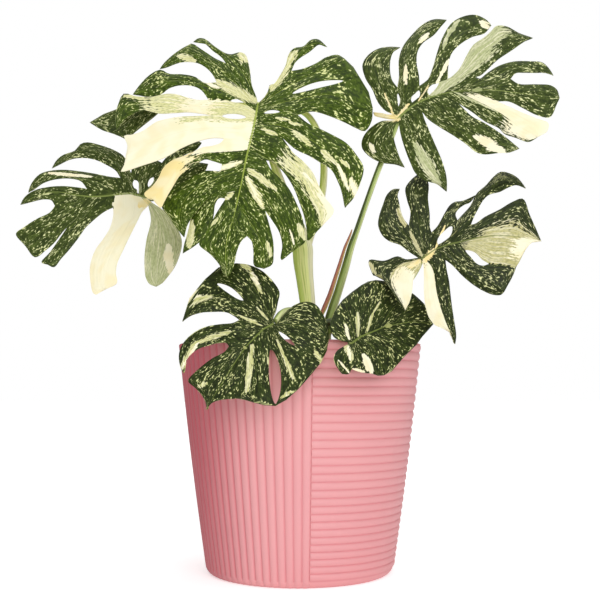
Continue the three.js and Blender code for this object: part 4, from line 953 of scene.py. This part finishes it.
    bmesh.ops.remove_doubles(bm, verts=bm.verts, dist=weld)
    bmesh.ops.dissolve_degenerate(bm, edges=bm.edges, dist=0.000002)
    bmesh.ops.reverse_faces(bm, faces=bm.faces)
    bm.normal_update()
    for vert in bm.verts:
        vert.co += vert.normal * blades["thickness"] / 2 * millimetre
    grown = bmesh.ops.extrude_face_region(bm, geom=bm.faces)["geom"]
    for vert in grown:
        if not isinstance(vert, bmesh.types.BMVert):
            continue
        vert[layers["under"]] = 1.0
        ribs = blades["underRib"] * math.exp(-(vert[layers["rib"]] ** 2))
        ribs += blades["underVein"] * math.exp(-((vert[layers["vein"]] / 1.5) ** 2))
        vert.co -= vert.normal * (blades["thickness"] + ribs) * millimetre
    bmesh.ops.recalc_face_normals(bm, faces=bm.faces)
    finishMesh(bm, "leaf" + letter, material, "leaf_" + letter)


leafMaterials = {}
for name, look in leafLooks.items():
    made = makeLeafMaterial(name, look)
    leafMaterials.update({letter: made for letter in look["leaves"]})
for letter, leaf in leaves.items():
    buildLeaf(letter, leaf, leafMaterials[letter])
print("leaves done")


# Stalks
# the left colours are partly painted shade, the right colours partly painted light
stalkLooks = {
    "paleStalk": {"left": (196, 218, 104), "middle": (240, 247, 160), "right": (255, 252, 208),
                  "stripe": (176, 198, 70), "roughness": 0.42, "split": 0.16},
    "greenStalk": {"left": (70, 86, 34), "middle": (158, 178, 92), "right": (226, 234, 166),
                   "stripe": (126, 146, 62), "roughness": 0.4, "split": 0.34},
    "drySheath": {"left": (140, 76, 66), "middle": (190, 122, 96), "right": (240, 220, 130),
                  "stripe": (128, 66, 54), "roughness": 0.6, "split": 0.16},
    "oldStem": {"left": (84, 76, 46), "middle": (120, 112, 66), "right": (140, 126, 80),
                "stripe": (96, 82, 56), "roughness": 0.75, "split": 0.16},
}


def makeStalkMaterial(name, look):
    # striped along its length, and of another colour on its left and its right side; the darker left and
    # lighter right are partly the stalk's own stripes, cream flap and yellow edge and partly painted shade
    # and painted light from the lamps on the right
    material, tree, shader = newMaterial(name)
    grain = addNode(tree, "ShaderNodeUVMap", uv_map="grain").outputs[0]
    stripes = cloud(tree, stretched(tree, grain, (1.0, 0.03, 1.0)), 0.45, 3.0, 0.6)
    uneven = product(tree, calc(tree, "SUBTRACT", stripes, 0.5), 0.7)
    side = total(tree, attribute(tree, "side"), uneven)
    split = look["split"]
    left, middle, right, stripe = [tint(*look[key]) for key in ("left", "middle", "right", "stripe")]
    # the left colour is partly painted shade on the side away from the lamps
    color = blend(tree, between(tree, side, split, split + 0.18), left, middle)
    # the right colour is partly painted light on the lit side, partly the cream flap and yellow edge
    color = blend(tree, between(tree, side, 0.66, 0.86), color, right)
    color = blend(tree, between(tree, stripes, 0.52, 0.62, 0.0, 0.75), color, stripe)
    rough = between(tree, stripes, 0.2, 0.8, look["roughness"] - 0.06, look["roughness"] + 0.06)
    tree.links.new(color, shader.inputs["Base Color"])
    tree.links.new(rough, shader.inputs["Roughness"])
    tree.links.new(addBump(tree, stripes, 0.0008, 0.6), shader.inputs["Normal"])
    return material


stalkMaterials = {name: makeStalkMaterial(name, look) for name, look in stalkLooks.items()}
stalkForm = {
    "sides": 28, "stepLength": 3.0, "samples": 12,  # samples between two points of the path
    "ridgeCount": 5, "twist": 0.4, "roughScale": 120,
    "plantDepth": 156.0, "foot": (0, 18, 38, 46),  # where the foot starts, and its points above that
}

# Each stalk's foot, with its radius, and its path: across, down, depth and radius.
stalks = {
    "A": {"foot": (7, -6, 8), "ridges": 0.09, "material": "paleStalk", "path": """
    309,325,-6,7.6 306.8,300,-8,7.8 304,276,-11,8.7 302.6,262,-12.5,9.8 301.8,248,-14,10.4
    293,218,-19,7.2 281,184,-24,4.4 272.5,160,-26,3.8 264.5,125,-21,3.2 259.5,106.5,-16.2,2.8
    """},
    "B": {"foot": (26, 6, 5.2), "ridges": 0.02, "material": "greenStalk", "path": """
    326,335,7,5 332.6,308,7,4.4 337.3,294,6.5,4 341,282,6,4 346,265,5,3.8 350.9,247,4.5,3.4
    355.9,233,4,2.9 366.6,202,4,2.7 378.2,170,4,2.8 388.5,145,5,2.8 397.5,121.5,8.6,2.8
    """},
    "C": {"foot": (24, -13, 4.4), "ridges": 0.02, "material": "greenStalk", "path": """
    326,335,-14,4.4 342,318,-22,4 378,304,-38,3.4 405,285,-42,3 417,269,-52,2.6 421,260.6,-55,2.4
    """},
    "D": {"foot": (-1, 7, 4), "ridges": 0.02, "material": "greenStalk", "path": """
    303,330,6.5,4 305,300,5.5,3.9 303.5,265,5,3.8 298,237,6,3.6 284,208,11,3.5 262,193,17,3.4
    230,186,22,3.2 195,190,27,3 165,197,32,2.8 149,199,34.6,2.6
    """},
    "E": {"foot": (0, -24, 3.8), "ridges": 0.02, "material": "greenStalk", "path": """
    300,338,-32,3.8 297,318,-55,3.6 290,311,-80,3.3 281,314,-99,3 275.5,321,-107.6,2.6
    """},
    "F": {"foot": (15, -28, 3.6), "ridges": 0.02, "material": "greenStalk", "path": """
    317,338,-36,3.6 324,325,-60,3.4 335,322,-86,3.2 345,330,-102,3 350.8,342.5,-113.8,2.6
    """},
    "G": {"foot": (10, 19, 4), "ridges": 0.02, "material": "paleStalk", "path": """
    309,330,18,4 306,300,17,3.9 304,270,16,3.8 308,245,15,3.8 315,222,13,3.7 321,200,11,3.6
    323.5,180,10,3.6 323.5,160,9,3.5 319,135,9,3.3 306,114,10,3 280,105.5,12,2.8 240,105,14,2.6
    209.5,105,15.4,2.2
    """},
}
sheathPath = """
    320,318,5,1.8 324.2,308,5,2.5 330,294,4.8,2.4 334.2,281,4.5,2.1
    339.4,265,4,1.9 345.1,247,3.5,1.5 350.2,235,3,1.1 352,229.5,3,0.5
"""


def readPath(text):
    points = readTable(text, "path")["path"]
    return [place(*point[:3]) for point in points], [point[3] for point in points]


def buildTube(name, line, ridges, material, node, rough=0.0):
    # a stalk: a sheet of cells rolled round its path, with both ends closed
    centres, radii = line
    count = len(centres) - 1
    samples = count * stalkForm["samples"]
    path = [curvePoint(centres, i / samples) for i in range(samples + 1)]
    lengths = measure(path)
    steps = max(6, int(lengths[-1] / (stalkForm["stepLength"] * millimetre)))
    sides = stalkForm["sides"]
    bm = bmesh.new()
    uvLayer = bm.loops.layers.uv.new("grain")
    sideLayer = bm.verts.layers.float.new("side")
    made = bmesh.ops.create_grid(bm, x_segments=sides, y_segments=steps, size=0.5)["verts"]
    frames = []
    across = Vector((1, 0, 0))
    for i in range(steps + 1):
        wanted = lengths[-1] * i / steps
        centre = pointAt(path, lengths, wanted)
        ahead = pointAt(path, lengths, min(lengths[-1], wanted + 0.001))
        behind = pointAt(path, lengths, max(0.0, wanted - 0.001))
        along = (ahead - behind).normalized()
        across = (across - along * across.dot(along)).normalized()
        k = min(range(samples + 1), key=lambda n: abs(lengths[n] - wanted)) / stalkForm["samples"]
        low = min(count - 1, int(k))
        radius = radii[low] + (radii[low + 1] - radii[low]) * (k - low)
        frames.append((centre, across.copy(), along.cross(across), radius, wanted))
    grains = {}
    for index, vert in enumerate(made):
        i, j = divmod(index, sides + 1)
        centre, side, front, radius, length = frames[i]
        angle = 2 * math.pi * j / sides
        turned = 2 * math.pi * (j % sides) / sides
        ridge = math.cos(stalkForm["ridgeCount"] * turned + stalkForm["twist"] * math.sin(2 * turned))
        bark = Vector((math.cos(turned), math.sin(turned), length * stalkForm["roughScale"]))
        wobble = 1 - ridges + ridges * ridge + rough * noise.noise(bark * 2)
        vert.co = centre + (side * math.cos(turned) + front * math.sin(turned)) * radius * wobble * millimetre
        vert[sideLayer] = 0.5 + math.cos(turned) / 2
        grains[vert] = (angle * radii[0], length / millimetre)
    for face in bm.faces:
        for loop in face.loops:
            loop[uvLayer].uv = grains[loop.vert]
    bmesh.ops.remove_doubles(bm, verts=bm.verts, dist=weld)
    bmesh.ops.holes_fill(bm, edges=[e for e in bm.edges if e.is_boundary], sides=0)
    bmesh.ops.recalc_face_normals(bm, faces=bm.faces)
    finishMesh(bm, name, material, node)


def plantedLine(foot, path):
    # the path of a stalk, carried on down into the soil
    x, y, radius = foot
    below = [Vector((x, y, stalkForm["plantDepth"] + rise)) * millimetre for rise in stalkForm["foot"]]
    centres, radii = readPath(path)
    return below + centres, [radius] * len(below) + radii


for letter, stalk in stalks.items():
    line = plantedLine(stalk["foot"], stalk["path"])
    material = stalkMaterials[stalk["material"]]
    buildTube("stalk" + letter, line, stalk["ridges"], material, "petiole_" + letter)
stub = plantedLine((15.2, 5.5, 4), "315.8,352,5.5,3.9 315.8,334,5.5,3.2")
buildTube("stemStub", stub, 0.04, stalkMaterials["oldStem"], "stem", rough=0.06)
buildTube("sheathB", readPath(sheathPath), 0.12, stalkMaterials["drySheath"], "sheath_B", rough=0.1)
print("stalks done")

# Pot: rings round its right half, upright flutes on its left half
potForm = {
    "height": 210.0, "rimRadius": 114.0, "footRadius": 86.3, "belly": 1.3, "wall": 4.0, "floor": 5.0,
    "footRounding": 7.0, "lip": 1.4, "corner": 8.0, "flutes": 80, "rings": 29, "relief": 1.2, "seamTurn": 5.5,
    "hub": 50.0,  # the underside and the floor have a ring of points this far out
    "ringSides": 90, "fluteColumns": 8, "ringRows": 8,
}


def outerRadius(z):
    share = z / potForm["height"]
    radius = potForm["footRadius"] + (potForm["rimRadius"] - potForm["footRadius"]) * share
    radius += potForm["belly"] * math.sin(math.pi * min(1.0, share))
    low = max(0.0, potForm["footRounding"] - z)
    return radius - potForm["footRounding"] + math.sqrt(potForm["footRounding"] ** 2 - low**2)


def groove(phase):
    # 0 on the back of a rounded rib, 1 in the narrow groove beside it
    return 1 - abs(math.sin(math.pi * phase)) ** 0.8


def ringHeight(i):
    # the rings are a little wider towards the rim
    share = i / potForm["rings"]
    low = potForm["footRounding"]
    return low + (potForm["height"] - low) * share * (0.85 + 0.15 * share)


def potOutline(steps):
    # from the middle of the underside, up the outside, over the rim and down to the floor
    outline = [(0, 0), (potForm["hub"], 0)]
    outline += [(outerRadius(z) - potForm["relief"] * depth, z) for z, depth in steps]
    height, lip, floor = potForm["height"], potForm["lip"], potForm["floor"]
    rim = outerRadius(height)
    half = (potForm["wall"] - 0.4) / 2
    for angle in (30, 60, 90, 120, 150, 180):
        turn = math.radians(angle)
        outline.append((rim - 0.2 - half + math.cos(turn) * half, height - lip + lip * math.sin(turn)))
    low = floor + potForm["corner"]
    bottom = outerRadius(low) - potForm["wall"]
    outline += [((rim - potForm["wall"] + bottom) / 2, height / 2), (bottom, low)]
    outline += [(bottom - 2.4, low - 5.6), (bottom - potForm["corner"], floor)]
    outline += [(potForm["hub"], floor), (0, floor)]
    return outline


def spinHalf(outline, turnFrom, sides):
    # sweeps the closed outline half a turn round the pot's axis
    bm = bmesh.new()
    verts = [bm.verts.new(Vector((r, 0, z)) * millimetre) for r, z in outline]
    face = bm.faces.new(verts)
    bmesh.ops.rotate(bm, verts=verts, cent=(0, 0, 0), matrix=Matrix.Rotation(turnFrom, 3, "Z"))
    swept = [face, *face.edges, *verts]
    axis = Vector((0, 0, 1))
    bmesh.ops.spin(bm, geom=swept, cent=(0, 0, 0), axis=axis, angle=math.pi, steps=sides, use_merge=False)
    bmesh.ops.remove_doubles(bm, verts=bm.verts, dist=weld)
    bmesh.ops.recalc_face_normals(bm, faces=bm.faces)
    return bm


def buildPot(material):
    seam = math.radians(potForm["seamTurn"])
    low = potForm["footRounding"]
    top = potForm["height"] - potForm["lip"]
    foot = [0, 0.3, 1, 2, 3.5, 5]
    count = potForm["ringRows"]
    rings = [(ringHeight(i / count), groove(i / count)) for i in range(potForm["rings"] * count)]
    rings = [(z, depth) for z, depth in rings if z < top - 0.2]
    ringOutline = potOutline([(z, 1) for z in foot] + rings + [(top, 1)])
    ringed = spinHalf(ringOutline, seam - math.pi / 2, potForm["ringSides"])
    straight = [low, 20, 40, 60, 80, 100, 120, 140, 160, 180, 195, top]
    columns = potForm["flutes"] // 2 * potForm["fluteColumns"]
    fluted = spinHalf(potOutline([(z, 0) for z in foot + straight]), seam + math.pi / 2, columns)
    for vert in fluted.verts:
        radius = math.hypot(vert.co.x, vert.co.y)
        z = vert.co.z / millimetre
        if radius < (outerRadius(max(0.0, min(z, potForm["height"]))) - 1.5) * millimetre or z < 0.2:
            continue
        turn = math.atan2(vert.co.y, vert.co.x) - seam - math.pi / 2
        phase = turn / (2 * math.pi) * potForm["flutes"]
        inset = potForm["relief"] * groove(phase) * millimetre
        vert.co.x *= (radius - inset) / radius
        vert.co.y *= (radius - inset) / radius
    halves = []
    for name, bm in (("potRinged", ringed), ("potFluted", fluted)):
        mesh = bpy.data.meshes.new(name)
        bm.to_mesh(mesh)
        bm.free()
        halves.append(bpy.data.objects.new(name, mesh))
        bpy.context.scene.collection.objects.link(halves[-1])
    joined = joinSolids(*halves)
    crest = joined.verts.layers.float.new("crest")
    for vert in joined.verts:
        z = max(0.0, min(vert.co.z / millimetre, potForm["height"]))
        fall = outerRadius(z) - math.hypot(vert.co.x, vert.co.y) / millimetre
        vert[crest] = 1 - min(1.0, max(0.0, fall) / potForm["relief"])
        if z < potForm["footRounding"]:
            vert[crest] = 1.0
    finishMesh(joined, "ribbedPot", material, "pot")


def makePotMaterial():
    material, tree, shader = newMaterial("pinkPlastic")
    coordinates = addNode(tree, "ShaderNodeTexCoord").outputs["Object"]
    cloudy = cloud(tree, coordinates, 9.0, 2.0)
    grain = cloud(tree, coordinates, 900.0, 2.0)
    scuffs = cloud(tree, stretched(tree, coordinates, (1.0, 1.0, 0.25)), 60.0, 4.0, 0.7)
    crest = attribute(tree, "crest")
    across = addNode(tree, "ShaderNodeSeparateXYZ", {0: coordinates}).outputs[0]
    pink = blend(tree, between(tree, cloudy, 0.3, 0.7), tint(230, 161, 163), tint(226, 156, 159))
    # painted shade: the left side of the pot, away from the lamps, is darkened towards deep rose
    pink = blend(tree, between(tree, across, -0.035, -0.1, 0.0, 0.9), pink, tint(176, 68, 80))
    # painted shade in the grooves between the rings and flutes, stronger towards the left side
    grooveShade = product(tree, between(tree, crest, 0.8, 0.0), between(tree, across, 0.0, -0.1, 0.26, 0.75))
    pink = blend(tree, grooveShade, pink, tint(196, 76, 90))
    worn = product(tree, crest, between(tree, scuffs, 0.6, 0.75, 0.0, 0.12))
    pink = blend(tree, worn, pink, tint(250, 190, 192))
    tree.links.new(pink, shader.inputs["Base Color"])
    tree.links.new(between(tree, scuffs, 0.3, 0.7, 0.46, 0.58), shader.inputs["Roughness"])
    shader.inputs["Specular IOR Level"].default_value = 0.6
    tree.links.new(addBump(tree, grain, 0.0001, 0.4), shader.inputs["Normal"])
    return material


buildPot(makePotMaterial())
print("pot done")

# Soil: a mound of potting mix with loose crumbs on it
soilForm = {"bottom": 5.4, "level": 190.0, "crown": 5.0, "clear": 0.5, "sides": 96, "rings": 26,
            "dip": 4, "lumps": 1.6, "crumbs": 1300, "crumbSize": (1.1, 3.4), "seed": 11}


def soilRadius(z):
    low = potForm["floor"] + potForm["corner"]
    bottom = outerRadius(low) - potForm["wall"]
    top = outerRadius(potForm["height"]) - potForm["wall"]
    return bottom + (top - bottom) * (z - low) / (potForm["height"] - low) - soilForm["clear"]


def soilTop(x, y):
    share = math.hypot(x, y) / soilRadius(soilForm["level"])
    lump = noise.noise(Vector((x, y, 3.0)) * 0.07) + 0.5 * noise.noise(Vector((x, y, 9.0)) * 0.21)
    edge = 1 - soft(0.86, 1.0, share)
    swell = soilForm["crown"] * (1 - share**2) + soilForm["lumps"] * lump
    return soilForm["level"] - soilForm["dip"] * (1 - edge) + swell * edge


def buildSoil(material):
    low = potForm["floor"] + potForm["corner"]
    level, bottom, rings = soilForm["level"], soilForm["bottom"], soilForm["rings"]
    edge = soilRadius(level)
    outline = [(0, bottom), (soilRadius(low) - potForm["corner"], bottom), (soilRadius(low), low)]
    outline += [(soilRadius(level - soilForm["dip"]), level - soilForm["dip"])]
    outline += [(edge * (1 - i / rings) - 0.4, level) for i in range(rings)]
    outline.append((0, level))
    bm = bmesh.new()
    verts = [bm.verts.new(Vector((r, 0, z)) * millimetre) for r, z in outline]
    edges = [bm.edges.new(pair) for pair in zip(verts, verts[1:])]
    around = {"cent": (0, 0, 0), "axis": (0, 0, 1), "angle": 2 * math.pi, "steps": soilForm["sides"]}
    bmesh.ops.spin(bm, geom=verts + edges, use_merge=True, **around)
    bmesh.ops.remove_doubles(bm, verts=bm.verts, dist=weld)
    bmesh.ops.recalc_face_normals(bm, faces=bm.faces)
    for vert in bm.verts:
        if vert.co.z > (soilForm["level"] - 1) * millimetre:
            vert.co.z = soilTop(vert.co.x / millimetre, vert.co.y / millimetre) * millimetre
    finishMesh(bm, "soilMound", material, "soil")


def buildCrumbs(material):
    rng = random.Random(soilForm["seed"])
    bm = bmesh.new()
    for _ in range(soilForm["crumbs"]):
        away = math.sqrt(rng.random()) * (soilRadius(soilForm["level"]) - 6)
        turn = rng.uniform(0, 2 * math.pi)
        x, y = away * math.cos(turn), away * math.sin(turn)
        size = rng.uniform(*soilForm["crumbSize"]) * rng.uniform(0.5, 1.0)
        angle = rng.uniform(0, math.pi)
        spin = Matrix.Rotation(angle, 4, Vector((rng.random(), rng.random(), 1)).normalized())
        flat = Matrix.Diagonal((1.0, rng.uniform(0.5, 1.0), rng.uniform(0.4, 0.8), 1.0))
        lift = Vector((x, y, soilTop(x, y) + 0.2 * size)) * millimetre
        pose = Matrix.Translation(lift) @ spin @ flat
        made = bmesh.ops.create_icosphere(bm, subdivisions=1, radius=size * millimetre, matrix=pose)
        for vert in made["verts"]:
            vert.co += Vector([rng.uniform(-0.15, 0.15) for _ in range(3)]) * size * millimetre
    finishMesh(bm, "soilCrumbs", material)


def makeSoilMaterial():
    material, tree, shader = newMaterial("pottingMix")
    coordinates = addNode(tree, "ShaderNodeTexCoord").outputs["Object"]
    coarse = cloud(tree, coordinates, 120.0, 3.0, 0.6)
    fine = cloud(tree, coordinates, 700.0, 3.0, 0.7)
    color = blend(tree, between(tree, coarse, 0.35, 0.65), tint(46, 34, 26), tint(92, 68, 48))
    color = blend(tree, between(tree, fine, 0.62, 0.72, 0.0, 0.6), color, tint(134, 108, 78))
    tree.links.new(color, shader.inputs["Base Color"])
    tree.links.new(between(tree, fine, 0.2, 0.8, 0.8, 1.0), shader.inputs["Roughness"])
    tree.links.new(addBump(tree, fine, 0.001, 0.8), shader.inputs["Normal"])
    return material


pottingMix = makeSoilMaterial()
buildSoil(pottingMix)
buildCrumbs(pottingMix)
print("soil done")

# Room: a pale floor, a white surround and soft lights
studio = {"floor": 9.0, "surround": 0.42, "backdrop": 1.0, "glow": 0.5}
lights = {
    "key": {"spot": (0.6, -2.8, 0.9), "aim": (0, 0, 0.28), "size": 3.2, "power": 63},
    "left": {"spot": (-1.6, -2.2, 1.5), "aim": (0, 0, 0.35), "size": 1.8, "power": 2},
    "top": {"spot": (0.2, 0.3, 2.4), "aim": (0, 0, 0.2), "size": 2.2, "power": 14},
}


def addLight(name, spot, aim, size, power):
    light = bpy.data.lights.new(name, "AREA")
    light.shape = "DISK"
    light.size = size
    light.energy = power
    lamp = bpy.data.objects.new(name, light)
    lamp.location = spot
    lamp.rotation_euler = (Vector(aim) - Vector(spot)).to_track_quat("-Z", "Y").to_euler()
    bpy.context.scene.collection.objects.link(lamp)


def buildRoom():
    # the floor takes a faint shadow near the pot and fades into the white surround farther off
    material, tree, shader = newMaterial("paleFloor")
    coordinates = addNode(tree, "ShaderNodeTexCoord").outputs["Object"]
    away = addNode(tree, "ShaderNodeVectorMath", {0: coordinates}, operation="LENGTH").outputs["Value"]
    far = between(tree, away, 0.35, 1.3)
    shade = blend(tree, cloud(tree, coordinates, 1.5), (0.92, 0.92, 0.92, 1), (0.95, 0.95, 0.95, 1))
    tree.links.new(blend(tree, far, shade, (0.3, 0.3, 0.3, 1)), shader.inputs["Base Color"])
    shader.inputs["Roughness"].default_value = 0.9
    shader.inputs["Emission Color"].default_value = (1, 1, 1, 1)
    seen = addNode(tree, "ShaderNodeLightPath").outputs["Is Camera Ray"]
    strength = between(tree, far, 0.0, 1.0, studio["glow"], 1.0)
    strength = product(tree, strength, between(tree, seen, 0.0, 1.0, studio["surround"], 1.0))
    tree.links.new(strength, shader.inputs["Emission Strength"])
    bm = bmesh.new()
    bmesh.ops.create_grid(bm, x_segments=1, y_segments=1, size=studio["floor"])
    mesh = bpy.data.meshes.new("floor")
    bm.to_mesh(mesh)
    bm.free()
    mesh.materials.append(material)
    ground = bpy.data.objects.new("floor", mesh)
    bpy.context.scene.collection.objects.link(ground)
    for name, lamp in lights.items():
        addLight(name, **lamp)

    world = bpy.data.worlds.new("surround")
    bpy.context.scene.world = world
    world.use_nodes = True
    nodes = world.node_tree
    seen = addNode(nodes, "ShaderNodeLightPath").outputs["Is Camera Ray"]
    strength = between(nodes, seen, 0.0, 1.0, studio["surround"], studio["backdrop"])
    nodes.links.new(strength, nodes.nodes["Background"].inputs["Strength"])
    nodes.nodes["Background"].inputs["Color"].default_value = (1, 1, 1, 1)


def addCamera():
    data = bpy.data.cameras.new("camera")
    data.sensor_width = 36
    data.lens = view["distance"] / 600 * data.sensor_width
    camera = bpy.data.objects.new("camera", data)
    camera.location = view["eye"]
    camera.rotation_euler = (math.pi / 2 + view["tilt"], 0, 0)
    bpy.context.scene.collection.objects.link(camera)
    bpy.context.scene.camera = camera


buildRoom()
addCamera()
bpy.context.scene.view_settings.view_transform = "Standard"
print("room done")
